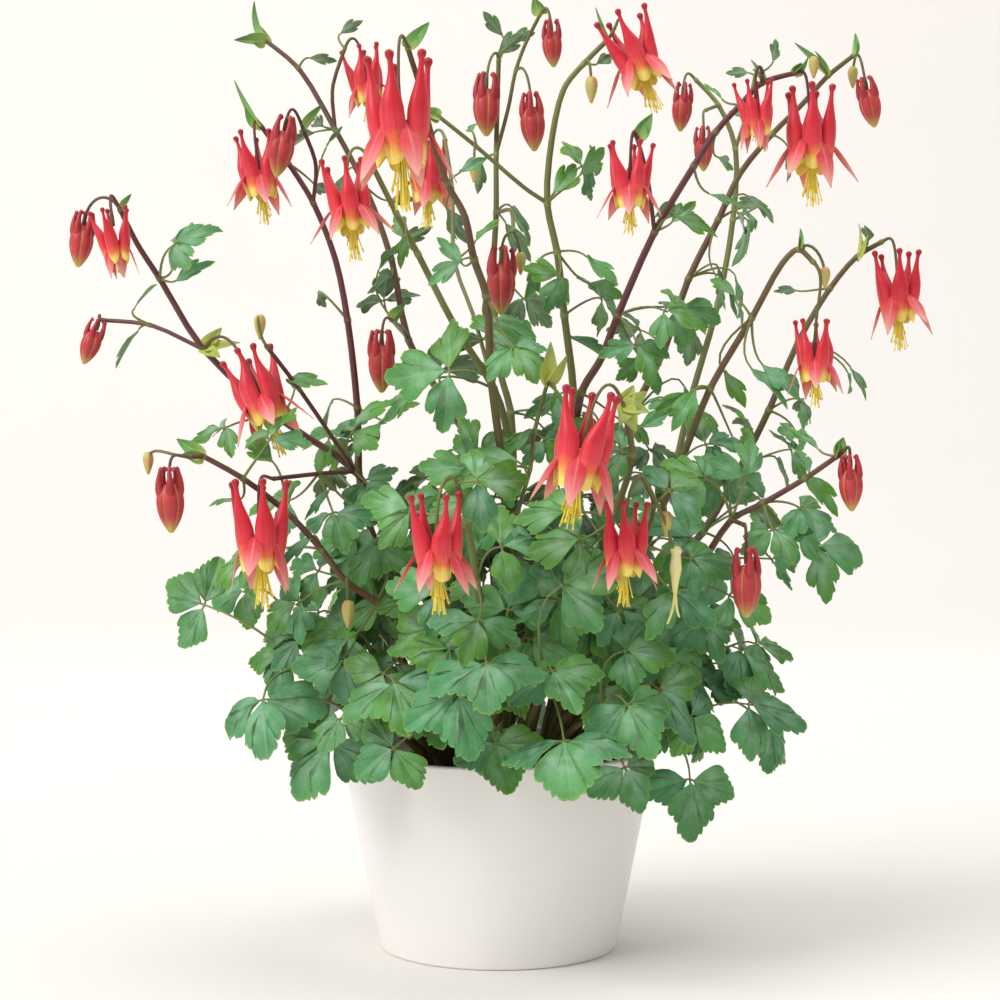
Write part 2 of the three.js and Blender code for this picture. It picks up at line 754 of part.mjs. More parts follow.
function potProfile(grow) {
  const { rimRadius, footRadius, height, wall, floor, lip, footBevel } = POT;
  const slope = (rimRadius - footRadius) / height;
  const inner = (z) => footRadius + slope * z - wall;
  return [
    [0, -grow], [footRadius - footBevel, -grow], [footRadius + grow, footBevel],
    [rimRadius + grow, height - lip], [rimRadius - lip, height + grow],
    [rimRadius - wall + 0.4, height + grow], [inner(height - lip) - grow, height - lip],
    [inner(floor) - grow, floor + grow], [0, floor + grow],
  ];
}
addNode('pot', LOOKS.pot, [(grow) => lathe(potProfile(grow), POT.sides)]);

function soilProfile(grow) {
  const slope = (POT.rimRadius - POT.footRadius) / POT.height;
  const inner = (z) => POT.footRadius + slope * z - POT.wall - GAP / Math.cos(Math.PI / SOIL.sides);
  const bottom = POT.floor + GAP;
  const wall = Math.cos(Math.PI / POT.sides); // the pot's facets come in to this share of its radius
  const edge = SOIL.level - SOIL.mound;
  return [
    [0, bottom], [inner(bottom) * wall - GAP, bottom], [inner(edge) * wall - GAP, edge + grow],
    [SOIL.bedRadius, SOIL.level + grow], [0, SOIL.level + grow],
  ];
}

const feet = []; // [x, y, radius] of everything that stands in the soil

function footPoints(x, y) {
  return [new THREE.Vector3(x, y, SOIL.level - SOCKET.depth + GAP), new THREE.Vector3(x, y, SOIL.level)];
}

// Points of a line, its depth shared out along its length from the start to the tip.
function trace(start, points, depth) {
  const flat = [[start.x, start.z], ...points];
  const run = [0];
  for (let i = 1; i < flat.length; i += 1) {
    run.push(run[i - 1] + Math.hypot(flat[i][0] - flat[i - 1][0], flat[i][1] - flat[i - 1][1]));
  }
  return points.map(([x, z], i) => seen(x, z, lerp(start.y, depth, run[i + 1] / run[points.length])));
}

function growStem(stem) {
  const [footX, footY] = stem.crown;
  feet.push([footX, footY, stem.radius]);
  const foot = footPoints(footX, footY);
  const main = [...foot, ...trace(foot[1], stem.line, stem.depth)];
  const woody = [(grow) => lineTube(main, STEM.sides, stem.radius, STEM.tipRadius, grow)];
  const lines = [main.slice(2)];
  for (const [from, depth, points] of stem.branches) {
    const start = lines[0][from];
    const branch = [start, ...trace(start, points, depth)];
    woody.push((grow) => lineTube(branch, BRANCH.sides, BRANCH.radius, BRANCH.tipRadius, grow));
    lines.push(branch);
  }

  const bearer = (line, point) => lines[line][point];
  const place = ([line, point, x, z, step]) => seen(x, z, bearer(line, point).y + step);
  // A stalk at the tip of a line carries it on; one lower down leaves it sideways and upwards.
  const heading = ([line, point], target) => {
    const points = lines[line];
    const from = points[point];
    if (point === points.length - 1) return from.clone().sub(points[point - 1]).normalize();
    return target.clone().sub(from).setZ(0).normalize().addScaledVector(UP, 1).normalize();
  };

  const blades = [];
  stem.leaves.forEach((leaf, i) => {
    const centre = place(leaf);
    const from = bearer(leaf[0], leaf[1]);
    const half = leaf[5] > SIMPLE_SIZE ? NARROW_LEAFLET : SIMPLE_LEAF;
    blades.push(leafBlade(half, centre, from, leaf[5], FACING.stemHang, i + leaf[2]));
  });
  for (const bract of stem.bracts) {
    blades.push(bractBlade(bearer(bract[0], bract[1]), place(bract), bract[5]));
  }
  for (const young of stem.young) {
    const length = young[5];
    const centre = place(young);
    const from = bearer(young[0], young[1]);
    const upright = centre.z > from.z + length;
    const axis = UP.clone().multiplyScalar(upright ? -1 : 1);
    const stalk = pedicel(from, heading(young, centre), centre, axis, YOUNG_BUD.seat * length, length);
    const swelling = [...Array(YOUNG_BUD.steps - 1).fill(0), ...YOUNG_BUD.swelling];
    const radius = (grow) => (share) => grow
      + Math.max(swelling[Math.round(share * YOUNG_BUD.steps)] * length, share < 1 ? PEDICEL.tipRadius : 0);
    woody.push((grow) => tube(stalk, YOUNG_BUD.steps, YOUNG_BUD.sides, radius(grow)));
  }

  const hang = (item, kind, pieces, flower) => {
    const [, , , , , length, lean, nod] = item;
    const centre = place(item);
    const axis = hangingAxis(lean, nod);
    const from = bearer(item[0], item[1]);
    const seat = (flower.pedicelSeat * length) / flower.length;
    const stalk = pedicel(from, heading(item, centre), centre, axis, seat, flower.pedicelRise * length);
    const { steps, sides, radius, tipRadius } = PEDICEL;
    woody.push((grow) => tube(stalk, steps, sides, taper(radius, tipRadius, grow)));
    flowers.push({ kind, pieces, length, frame: flowerFrame(centre, axis, from) });
  };
  for (const item of stem.blooms) hang(item, 'bloom', bloomPieces, BLOOM);
  for (const item of stem.buds) hang(item, 'bud', budPieces, BUD);
  addNode(stem.name, LOOKS.stem, woody, blades);
}

function growLowLeaf(name, leaves) {
  const woody = [];
  const blades = [];
  const middleOf = (units) => units.reduce((sum, unit) => sum.add(unit.centre), new THREE.Vector3())
    .multiplyScalar(1 / units.length);
  const heading = outward(middleOf(leaves.flat()));
  const footX = heading.x * LOW_LEAF_RING;
  const footY = heading.y * LOW_LEAF_RING;
  feet.push([footX, footY, PETIOLE.footRadius]);
  for (const units of leaves) {
    const [sunk, top] = footPoints(footX, footY);
    const middle = middleOf(units);
    const joint = top.clone().lerp(middle, PETIOLE.jointShare).addScaledVector(UP, PETIOLE.jointRise);
    const knee = top.clone().lerp(joint, PETIOLE.kneeOut).setZ(lerp(top.z, joint.z, PETIOLE.kneeUp));
    const stalk = [sunk, top, knee, joint];
    woody.push((grow) => lineTube(stalk, PETIOLE.sides, PETIOLE.radius, PETIOLE.tipRadius, grow));
    units.forEach(({ centre, leaflet }, i) => {
      blades.push(leafBlade(BROAD_LEAFLET, centre, joint, leaflet, FACING.lowHang, i + centre.x));
    });
  }
  addNode(name, LOOKS.leaf, woody, blades);
}

function backTier(azimuth, tier) {
  return [-1, 0, 1].map((side) => {
    const angle = degToRad(azimuth + tier.turn + side * tier.spread);
    const reach = tier.reach - Math.abs(side) * BACK_LEAVES.draw;
    const height = tier.height + side * tier.climb;
    const centre = new THREE.Vector3(reach * Math.cos(angle), reach * Math.sin(angle), height);
    return { centre, leaflet: tier.leaflet };
  });
}

const flowers = []; // { kind, pieces, length, frame }
for (const stem of STEMS) growStem(stem);
for (const leaf of LOW_LEAVES) {
  growLowLeaf(leaf.name, [leaf.units.map(([x, z, y, leaflet]) => ({ centre: seen(x, z, y), leaflet }))]);
}
BACK_LEAVES.names.forEach((name, i) => {
  growLowLeaf(name, BACK_LEAVES.tiers.map((tier) => backTier(BACK_LEAVES.azimuths[i], tier)));
});

const counts = { bloom: 0, bud: 0 };
for (const flower of flowers) {
  counts[flower.kind] += 1;
  const name = `${flower.kind}_${String(counts[flower.kind]).padStart(2, '0')}`;
  const { pieces, length, frame } = flower;
  addNode(name, LOOKS[flower.kind], [(grow) => asGeometry(union(pieces(length, grow))).applyMatrix4(frame)]);
}

// ---------------------------------------------------------------- joining and cutting
function boxesMeet(a, b) {
  return [0, 1, 2].every((k) => a.min[k] < b.max[k] && b.min[k] < a.max[k]);
}

// The main body of a joined solid, without the scraps that a cut leaves.
function mainBody(solid) {
  const welded = asSolid(asGeometry(solid.simplify(FINEST)));
  return welded.decompose().reduce((best, body) => (body.volume() > best.volume() ? body : best));
}

const socketCutters = feet.map(([x, y, radius]) => {
  const width = (radius + SOCKET.slack) / Math.cos(Math.PI / SOCKET.sides);
  const socket = new THREE.CylinderGeometry(width, width, 2 * SOCKET.depth, SOCKET.sides);
  socket.rotateX(Math.PI / 2);
  return asSolid(socket.translate(x, y, SOIL.level));
});
const soil = asSolid(lathe(soilProfile(0), SOIL.sides)).subtract(Manifold.union(socketCutters));

const guards = nodes.map(({ woody }) => union(woody.map((make) => make(GAP))));
guards.push(asSolid(lathe(soilProfile(GAP), SOIL.sides)));
const bladeGuards = []; // the blades of earlier nodes, each with its clearance

const group = new THREE.Group();
function addMesh(name, material, solid) {
  const geometry = asGeometry(solid);
  drawSheetsApart(geometry);
  const mesh = new THREE.Mesh(geometry, material);
  mesh.name = name;
  group.add(mesh);
}
addMesh('soil', LOOKS.soil, soil);

nodes.forEach(({ name, look, woody, blades }, own) => {
  const parts = woody.map((make) => asSolid(make(0)));
  const obstacles = [...guards.filter((_, other) => other !== own), ...bladeGuards];
  for (const make of blades) {
    let leaf = asSolid(make(0));
    const near = obstacles.filter((other) => boxesMeet(leaf.boundingBox(), other.boundingBox()));
    if (near.length) leaf = leaf.subtract(Manifold.union(near));
    if (!leaf.isEmpty()) parts.push(leaf);
  }
  for (const make of blades) bladeGuards.push(asSolid(make(GAP)));
  addMesh(name, look, mainBody(Manifold.union(parts)));
});

export default group;
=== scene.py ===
import json
import math
import random

import bpy
from mathutils import Matrix, Vector, noise

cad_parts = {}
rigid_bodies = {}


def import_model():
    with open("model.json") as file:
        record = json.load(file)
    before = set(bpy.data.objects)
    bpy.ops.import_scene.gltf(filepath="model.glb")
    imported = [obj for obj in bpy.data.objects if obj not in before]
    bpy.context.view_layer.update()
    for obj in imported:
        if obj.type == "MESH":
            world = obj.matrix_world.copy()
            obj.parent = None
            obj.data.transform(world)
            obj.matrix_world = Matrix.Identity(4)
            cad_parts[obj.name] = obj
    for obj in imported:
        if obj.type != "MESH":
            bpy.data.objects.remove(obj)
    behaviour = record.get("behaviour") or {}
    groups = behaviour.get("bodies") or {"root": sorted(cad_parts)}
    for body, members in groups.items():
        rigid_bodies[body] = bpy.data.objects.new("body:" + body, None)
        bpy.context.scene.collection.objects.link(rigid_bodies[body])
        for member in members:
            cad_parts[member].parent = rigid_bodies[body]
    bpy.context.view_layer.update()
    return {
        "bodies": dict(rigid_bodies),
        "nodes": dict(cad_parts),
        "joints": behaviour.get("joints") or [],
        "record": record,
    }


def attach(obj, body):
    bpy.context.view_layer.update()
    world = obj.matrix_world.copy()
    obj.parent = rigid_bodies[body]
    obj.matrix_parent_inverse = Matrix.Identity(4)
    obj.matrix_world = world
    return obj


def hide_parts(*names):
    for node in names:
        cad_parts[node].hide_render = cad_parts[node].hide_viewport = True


# A red columbine growing in a plain tapered pot. Metres, +Z up, -Y to the front.
# The lists of what grows where are in millimetres, as a front elevation.

bl_info = {
    "name": "Potted columbine",
    "version": (1, 0, 0),
    "blender": (4, 5, 0),
    "location": "3D View > Sidebar > Columbine",
    "description": "Dresses a potted columbine: pot, soil, stems, lobed leaves, spurred blooms and buds",
    "category": "Add Mesh",
}

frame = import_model()
BODY = "root"

MM = 0.001
UP = Vector((0, 0, 1))
FIRST_NORMAL = Vector((0.3, 0.8, 0.1))
SIGHT_DISTANCE = 0.9  # the eye stands this far in front of the pot's axis
SIGHT_HEIGHT = 0.203


def paint(red, green, blue):
    """A colour in linear light, from its usual 0 to 255 values."""
    return tuple(
        value / 12.92 if value <= 0.04045 else ((value + 0.055) / 1.055) ** 2.4
        for value in (red / 255, green / 255, blue / 255)
    )


def opaque(colour):
    return (*colour, 1.0)


def colour_property(name, description, default):
    return bpy.props.FloatVectorProperty(
        name=name, description=description, subtype="COLOR", size=3, min=0, max=1, default=default
    )


def number_property(name, description, default, **limits):
    """A whole number where the default is one, and a decimal number otherwise."""
    kind = bpy.props.IntProperty if isinstance(default, int) else bpy.props.FloatProperty
    return kind(name=name, description=description, default=default, **limits)


def length_property(name, description, default):
    return number_property(name, description, default, subtype="DISTANCE", unit="LENGTH", min=0)


def power_property(name, description, default):
    return number_property(name, description, default, unit="POWER", min=0)


# ---------------------------------------------------------------- what grows where
# Each stem: its foot in the soil, the depth of its tip, how purple its skin is, its radius, its line
# from foot to tip, then what grows on it. A branch is [point it leaves, depth of its tip, points].
# Everything else starts with the line (0 is the stem, 1 the first branch) and the point of that line
# that bears it, then x, z and the step in depth. Leaves end with the leaflet length, bracts with their
# width, blooms and buds with their length, sideways lean and forward nod in degrees, young buds with
# their length. Extra leaves are leaves too, smaller ones that the plain model leaves out.

STEMS = [
    {
        "name": "stem_far_left", "crown": [-14, -8], "depth": -35, "flush": 0.85, "radius": 1.5,
        "line": [
            [-12, 105], [-28, 138], [-40, 163], [-59, 195], [-89, 216], [-121, 245], [-139, 274],
            [-148, 288], [-155, 302],
        ],
        "branches": [
            [5, -10, [[-143, 255], [-162, 257]]], [3, -60, [[-82, 229], [-95, 246]]],
            [3, -72, [[-74, 194], [-92, 192]]],
        ],
        "leaves": [
            [0, 6, -131, 283, 8, 13], [0, 4, -112, 213, -10, 14], [0, 4, -83, 233, 12, 12],
            [0, 3, -60, 208, 12, 15],
        ],
        "extra": [
            [1, 1, -152, 249, 6, 12], [0, 2, -57, 159, -14, 15], [3, 1, -75, 183, 10, 13],
            [0, 6, -133, 288, -8, 14], [0, 6, -127, 276, -4, 11], [1, 1, -147, 266, -4, 10],
            [2, 1, -81, 233, -4, 11], [0, 3, -60, 211, -6, 17], [0, 3, -69, 209, 2, 15],
            [0, 3, -55, 191, -10, 14], [3, 1, -68, 178, -8, 16], [3, 1, -86, 183, 6, 14],
            [3, 1, -60, 181, 4, 14], [0, 2, -36, 175, 20, 15], [0, 2, -49, 165, -20, 15],
            [0, 1, -32, 152, -20, 16],
        ],
        "bracts": [[0, 5, -108, 247, -5, 6], [0, 8, -151, 308, 4, 3]],
        "blooms": [[0, 5, -97, 224, -22, 46, 24, 10], [3, 2, -98, 166, -8, 50, 4, 6]],
        "buds": [
            [0, 8, -171, 290, 2, 22, -8, 0], [0, 8, -157, 288, -12, 27, 8, 0],
            [1, 2, -167, 248, -4, 19, -22, 0],
        ],
        "young": [[2, 2, -98, 255, 0, 9]],
    },
    {
        "name": "stem_low_left", "crown": [-20, -16], "depth": -85, "flush": 0.8, "radius": 1.4,
        "line": [
            [-20, 117], [-36, 128], [-50, 141], [-63, 150], [-73, 163], [-87, 178], [-105, 192],
            [-121, 201],
        ],
        "branches": [[7, -90, [[-127, 201]]]],
        "leaves": [[0, 3, -82, 141, 12, 17], [0, 2, -44, 160, 10, 16]],
        "extra": [
            [0, 5, -97, 203, 10, 13], [0, 6, -112, 183, 8, 9], [0, 6, -94, 208, 8, 14],
            [0, 4, -82, 164, -6, 13], [0, 3, -74, 154, 20, 14], [0, 4, -102, 159, 10, 15],
            [0, 2, -61, 126, -6, 15], [0, 2, -57, 152, 25, 15],
        ],
        "bracts": [[0, 7, -132, 208, 4, 4]],
        "buds": [[1, 1, -135, 183, -4, 24, 2, 0]],
        "young": [[1, 1, -144, 199, 4, 8], [0, 3, -62, 137, -6, 10]],
    },
    {
        "name": "stem_tall_left", "crown": [-6, 14], "depth": 85, "flush": 0.75, "radius": 1.5,
        "line": [
            [-1, 126], [-9, 200], [-25, 228], [-37, 249], [-44, 282], [-55, 312], [-67, 335], [-82, 360],
            [-95, 371],
        ],
        "branches": [[6, 75, [[-68, 352], [-63, 368]]], [3, 20, [[-39, 253], [-44, 257]]]],
        "leaves": [
            [0, 3, -47, 265, 14, 14], [0, 2, -24, 236, -10, 17], [0, 6, -74, 338, -8, 9],
            [1, 2, -62, 377, 4, 8],
        ],
        "extra": [
            [0, 5, -41, 307, 10, 10], [0, 1, -28, 192, 16, 16], [0, 4, -50, 273, -8, 13],
            [0, 4, -36, 292, 8, 11], [0, 3, -47, 283, 8, 12], [0, 1, -26, 183, -8, 15],
            [0, 1, -22, 199, -16, 14], [0, 5, -64, 315, 8, 10], [0, 6, -80, 333, -8, 12],
            [0, 7, -74, 364, 4, 9], [0, 1, -19, 175, -20, 16],
        ],
        "bracts": [[0, 8, -102, 384, 4, 5], [0, 8, -107, 371, -4, 5], [2, 2, -39, 263, 0, 4]],
        "blooms": [[1, 2, -54, 353, 4, 38, 6, 0]],
        "buds": [[2, 2, -48, 240, -6, 26, 0, 0]],
    },
    {
        "name": "stem_left", "crown": [-18, 3], "depth": 30, "flush": 1.0, "radius": 1.5,
        "line": [
            [-12, 109], [-41, 146], [-56, 183], [-58, 221], [-62, 257], [-67, 282], [-76, 305], [-86, 321],
            [-97, 336],
        ],
        "branches": [[6, 12, [[-75, 321], [-80, 335]]]],
        "leaves": [[0, 3, -47, 216, -8, 14]],
        "extra": [
            [0, 1, -49, 159, 20, 17], [0, 4, -74, 266, 10, 9], [0, 2, -69, 196, 16, 15],
            [0, 7, -74, 311, 12, 8], [0, 2, -44, 183, 14, 15], [0, 3, -71, 221, 12, 13],
            [0, 1, -57, 142, -14, 16], [0, 1, -32, 159, 20, 16], [0, 2, -64, 167, -16, 16],
            [0, 6, -69, 331, 8, 10],
        ],
        "bracts": [[0, 8, -110, 350, 4, 5], [1, 2, -74, 345, 3, 4]],
        "blooms": [[0, 8, -98, 316, -8, 41, 8, 4]],
        "buds": [[1, 2, -89, 328, -8, 25, -10, 0]],
    },
    {
        "name": "stem_front_tall", "crown": [-3, -12], "depth": -100, "flush": 0.7, "radius": 1.5,
        "line": [
            [1, 126], [3, 183], [-3, 233], [-5, 267], [-10, 282], [-14, 300], [-21, 313], [-27, 331],
            [-32, 352], [-37, 368],
        ],
        "leaves": [[0, 3, 6, 246, -6, 14], [0, 4, -21, 279, -8, 10]],
        "extra": [
            [0, 1, -12, 196, -12, 16], [0, 6, -12, 320, 8, 8], [0, 2, -20, 236, -10, 20],
            [0, 2, 6, 245, 8, 15], [0, 1, -8, 202, 8, 16], [0, 4, -19, 285, 8, 11],
            [0, 1, -12, 183, -14, 15], [0, 3, 3, 257, 8, 12],
        ],
        "bracts": [[0, 9, -29, 377, 4, 4]],
        "blooms": [[0, 9, -40, 335, -12, 58, 3, 0]],
    },
    {
        "name": "stem_mid_left", "crown": [-8, -3], "depth": -55, "flush": 0.25, "radius": 1.5,
        "line": [[6, 138], [4, 209], [-2, 229], [-17, 253], [-33, 284], [-42, 301], [-53, 323]],
        "branches": [[2, 30, [[-10, 258], [-18, 281], [-19, 311], [-22, 331]]]],
        "leaves": [[0, 2, -40, 224, -16, 12], [0, 3, -3, 250, 10, 14], [1, 3, -20, 298, 12, 12]],
        "extra": [
            [0, 1, 19, 208, -10, 14], [1, 2, -8, 294, 4, 11], [0, 4, -41, 296, 6, 11],
            [0, 1, -13, 167, 10, 16], [0, 5, -40, 288, -6, 10],
        ],
        "bracts": [[0, 6, -44, 332, 3, 4]],
        "blooms": [[0, 6, -61, 303, -6, 41, 8, 4], [1, 4, -29, 314, 4, 40, 0, 0]],
    },
    {
        "name": "stem_centre", "crown": [3, 8], "depth": 60, "flush": 0.35, "radius": 1.5,
        "line": [[4, 134], [6, 183], [5, 219], [0, 239], [-2, 279], [-1, 301], [-1, 325], [0, 363]],
        "branches": [[6, 40, [[4, 344], [7, 359], [11, 370], [17, 382]]], [5, 16, [[5, 302], [6, 294]]]],
        "leaves": [[0, 5, 9, 298, 10, 13], [0, 7, -1, 377, 4, 9], [0, 4, 10, 266, 10, 15]],
        "extra": [
            [0, 1, 25, 187, 24, 17], [0, 2, 19, 212, 14, 14], [0, 7, 9, 373, 3, 8],
            [0, 3, -12, 249, 16, 13], [0, 5, 6, 292, -4, 12], [0, 1, 19, 175, 14, 17],
            [0, 2, 25, 216, 10, 14], [0, 7, 4, 369, -4, 11], [0, 6, -8, 317, 6, 9],
        ],
        "bracts": [[1, 4, 15, 388, 0, 4]],
        "buds": [
            [0, 7, -5, 345, -10, 27, 0, 0], [1, 4, 22, 370, -3, 20, 4, 0], [1, 2, 14, 338, -3, 25, 4, 0],
            [2, 2, 1, 273, -6, 28, 0, 0],
        ],
        "young": [[2, 2, 9, 281, 4, 9]],
    },
    {
        "name": "stem_mid_right", "crown": [8, -4], "depth": -18, "flush": 0.3, "radius": 1.5,
        "line": [
            [15, 134], [29, 183], [31, 224], [27, 259], [24, 285], [20, 305], [22, 332], [27, 352],
            [35, 362], [44, 371],
        ],
        "branches": [[5, -30, [[11, 311], [-9, 328], [-24, 340]]]],
        "leaves": [[0, 5, 34, 320, 6, 15], [0, 2, 42, 212, -14, 15]],
        "extra": [
            [0, 4, 25, 275, -10, 14], [0, 4, 43, 270, 10, 13], [0, 1, 46, 183, 14, 17],
            [0, 3, 36, 249, 6, 13], [1, 2, -12, 336, 6, 8], [0, 5, 26, 314, -4, 13],
            [0, 5, 38, 321, -4, 13], [0, 4, 17, 277, 4, 13], [0, 4, 41, 278, -4, 13],
            [0, 3, 42, 266, 6, 14], [0, 1, 13, 159, -10, 17], [0, 1, 46, 196, 10, 15],
            [0, 8, 43, 363, 4, 8],
        ],
        "bracts": [[1, 3, -31, 343, 0, 4], [0, 9, 41, 383, 0, 4]],
        "blooms": [[0, 9, 57, 363, -4, 44, 22, 4]],
        "young": [[0, 8, 38, 352, -4, 10], [1, 2, -10, 319, -4, 9]],
    },
    {
        "name": "stem_right", "crown": [12, -13], "depth": -45, "flush": 0.95, "radius": 1.5,
        "line": [
            [19, 134], [28, 183], [34, 227], [42, 241], [49, 259], [64, 293], [80, 320], [89, 334],
            [99, 345], [108, 354], [121, 358],
        ],
        "branches": [[5, -58, [[61, 316], [57, 331]]], [9, -50, [[108, 358]]]],
        "leaves": [[0, 4, 57, 247, -8, 16], [0, 4, 73, 262, 10, 17], [0, 5, 75, 301, 8, 12]],
        "extra": [
            [0, 1, 42, 167, -16, 18], [0, 2, 20, 224, -10, 13], [0, 7, 94, 323, 10, 9],
            [0, 4, 58, 242, 4, 14], [0, 4, 68, 261, -6, 15], [0, 5, 79, 298, -4, 12],
            [0, 5, 68, 302, 8, 10], [0, 2, 50, 216, 8, 14], [0, 1, 41, 183, 10, 16], [0, 6, 91, 307, 6, 9],
            [0, 8, 89, 351, 4, 8],
        ],
        "bracts": [[0, 9, 104, 363, 3, 4], [0, 10, 127, 363, 0, 4], [1, 2, 63, 340, 3, 4]],
        "blooms": [[0, 10, 128, 329, -3, 48, 2, 2], [1, 2, 54, 312, -4, 37, 0, 2]],
        "buds": [[2, 1, 106, 340, -6, 27, 4, 0]],
    },
    {
        "name": "stem_tall_right", "crown": [17, 8], "depth": 60, "flush": 0.7, "radius": 1.5,
        "line": [
            [31, 138], [44, 183], [55, 218], [68, 245], [78, 274], [90, 298], [99, 317], [112, 333],
            [124, 345], [135, 357], [145, 365],
        ],
        "leaves": [[0, 5, 104, 302, -6, 13], [0, 4, 97, 269, 6, 13], [0, 2, 70, 224, -10, 14]],
        "extra": [
            [0, 3, 58, 253, 12, 14], [0, 7, 101, 340, 8, 9], [0, 1, 62, 192, 20, 17],
            [0, 4, 92, 273, 4, 13], [0, 4, 100, 271, -4, 12], [0, 5, 107, 304, 4, 13],
            [0, 5, 100, 298, -4, 11], [0, 5, 92, 271, -6, 13], [0, 2, 62, 204, 8, 15],
            [0, 2, 79, 224, 8, 13], [0, 1, 54, 167, 10, 16], [0, 7, 120, 323, 4, 9],
        ],
        "bracts": [[0, 9, 124, 370, 3, 4], [0, 10, 147, 373, 3, 4]],
        "buds": [[0, 10, 152, 346, -4, 22, 12, 0]],
        "young": [[0, 9, 129, 361, -3, 9], [0, 10, 145, 357, 6, 9]],
    },
    {
        "name": "stem_back_right", "crown": [12, 18], "depth": 110, "flush": 0.3, "radius": 1.5,
        "line": [
            [25, 126], [54, 167], [71, 194], [79, 225], [90, 264], [96, 298], [97, 327], [90, 345],
            [81, 355],
        ],
        "branches": [[6, 105, [[102, 343], [105, 357]]], [7, 98, [[85, 343]]]],
        "leaves": [
            [1, 2, 99, 359, 6, 9], [0, 5, 103, 291, 12, 13], [0, 2, 83, 196, 14, 17],
            [0, 1, 62, 146, 20, 18],
        ],
        "extra": [
            [1, 2, 114, 366, 4, 9], [0, 4, 79, 253, -8, 14], [0, 3, 70, 221, 6, 13],
            [0, 3, 89, 216, -6, 13], [0, 1, 58, 150, -10, 16], [0, 4, 99, 266, 4, 12],
            [0, 5, 103, 304, 6, 10],
        ],
        "buds": [[0, 8, 75, 344, -4, 22, -4, 0], [2, 1, 84, 327, -4, 20, 0, 0]],
    },
    {
        "name": "stem_right_middle", "crown": [20, -5], "depth": -60, "flush": 0.65, "radius": 1.4,
        "line": [
            [40, 126], [58, 159], [75, 199], [87, 229], [104, 258], [117, 281], [123, 286], [129, 281],
        ],
        "leaves": [[0, 4, 109, 232, -6, 13], [0, 3, 79, 223, -10, 13], [0, 2, 89, 193, 8, 16]],
        "extra": [
            [0, 1, 42, 146, -10, 17], [0, 4, 93, 271, 6, 10], [0, 2, 85, 206, -4, 14],
            [0, 3, 99, 203, 6, 13], [0, 3, 73, 224, -6, 12], [0, 4, 113, 234, -4, 13],
            [0, 1, 70, 167, -10, 17], [0, 1, 79, 183, 8, 15], [0, 4, 97, 231, 8, 12],
        ],
        "bracts": [[0, 6, 124, 293, 3, 4]],
        "blooms": [[0, 7, 130, 240, -2, 35, 2, 2]],
        "young": [[0, 6, 134, 275, 4, 8]],
    },
    {
        "name": "stem_far_right", "crown": [22, 4], "depth": 25, "flush": 0.6, "radius": 1.5,
        "line": [
            [42, 122], [62, 146], [84, 170], [99, 196], [111, 220], [123, 248], [136, 270], [147, 283],
            [157, 289],
        ],
        "leaves": [
            [0, 4, 124, 224, 8, 14], [0, 3, 120, 204, -10, 14], [0, 5, 145, 232, 4, 11],
            [0, 2, 108, 183, 12, 16],
        ],
        "extra": [
            [0, 6, 120, 270, 8, 9], [0, 3, 104, 212, -6, 14], [0, 4, 122, 211, -4, 14],
            [0, 3, 116, 196, 6, 13], [0, 2, 108, 175, -6, 15], [0, 2, 97, 159, 8, 15],
            [0, 5, 148, 233, -2, 11], [0, 5, 136, 244, 4, 9], [0, 1, 79, 142, 10, 16],
            [0, 7, 151, 292, -2, 9],
        ],
        "bracts": [[0, 7, 150, 295, 3, 6]],
        "blooms": [[0, 8, 164, 266, -3, 44, 2, 2]],
    },
    {
        "name": "stem_low_right", "crown": [21, -16], "depth": -75, "flush": 0.85, "radius": 1.4,
        "line": [
            [38, 115], [58, 134], [75, 148], [84, 158], [96, 175], [109, 182], [126, 192], [139, 201],
        ],
        "branches": [[4, -82, [[101, 173]]]],
        "leaves": [[0, 5, 131, 164, 8, 19], [0, 4, 94, 189, 8, 15], [0, 5, 113, 171, -8, 14]],
        "extra": [
            [0, 2, 83, 134, -6, 17], [0, 7, 129, 208, 6, 9], [0, 6, 131, 188, 2, 13],
            [0, 5, 124, 180, -4, 14], [0, 4, 85, 192, -4, 15], [0, 4, 101, 192, -6, 14],
            [0, 3, 79, 167, -8, 17], [0, 3, 112, 159, 6, 14], [0, 2, 95, 144, -6, 16],
            [0, 5, 120, 170, 6, 15], [0, 6, 127, 199, 4, 10], [0, 1, 70, 122, -8, 16],
        ],
        "bracts": [[0, 7, 143, 208, 3, 4]],
        "buds": [[0, 7, 145, 190, -3, 21, 2, 0], [1, 1, 102, 149, -3, 26, 0, 0]],
    },
    {
        "name": "stem_front_right", "crown": [8, -23], "depth": -105, "flush": 0.5, "radius": 1.5,
        "line": [[23, 122], [38, 152], [47, 175], [55, 202], [51, 222]],
        "branches": [[1, -98, [[58, 165], [64, 181], [60, 191]]]],
        "leaves": [[0, 2, 34, 167, -8, 18], [0, 3, 63, 215, 6, 10]],
        "extra": [
            [1, 1, 71, 146, 6, 17], [0, 2, 58, 183, 10, 12], [0, 2, 29, 178, -4, 15],
            [0, 2, 38, 164, 10, 15], [1, 1, 79, 159, 6, 15], [1, 2, 70, 187, -4, 14],
            [0, 3, 51, 203, -2, 15], [0, 1, 25, 142, -4, 17], [0, 1, 50, 138, 6, 16],
        ],
        "bracts": [[0, 4, 56, 213, -3, 7], [0, 4, 61, 226, 4, 6]],
        "blooms": [[0, 4, 34, 201, -14, 52, -10, 6], [1, 3, 52, 162, -4, 40, 0, 2]],
        "young": [[1, 2, 69, 174, -2, 9], [1, 3, 73, 157, 6, 12]],
    },
    {
        "name": "stem_front", "crown": [-9, -23], "depth": -112, "flush": 0.3, "radius": 1.5,
        "line": [[-4, 115], [-9, 150], [-13, 175], [-17, 190]],
        "branches": [[0, -50, [[3, 142], [8, 178], [13, 196], [15, 212], [20, 231]]]],
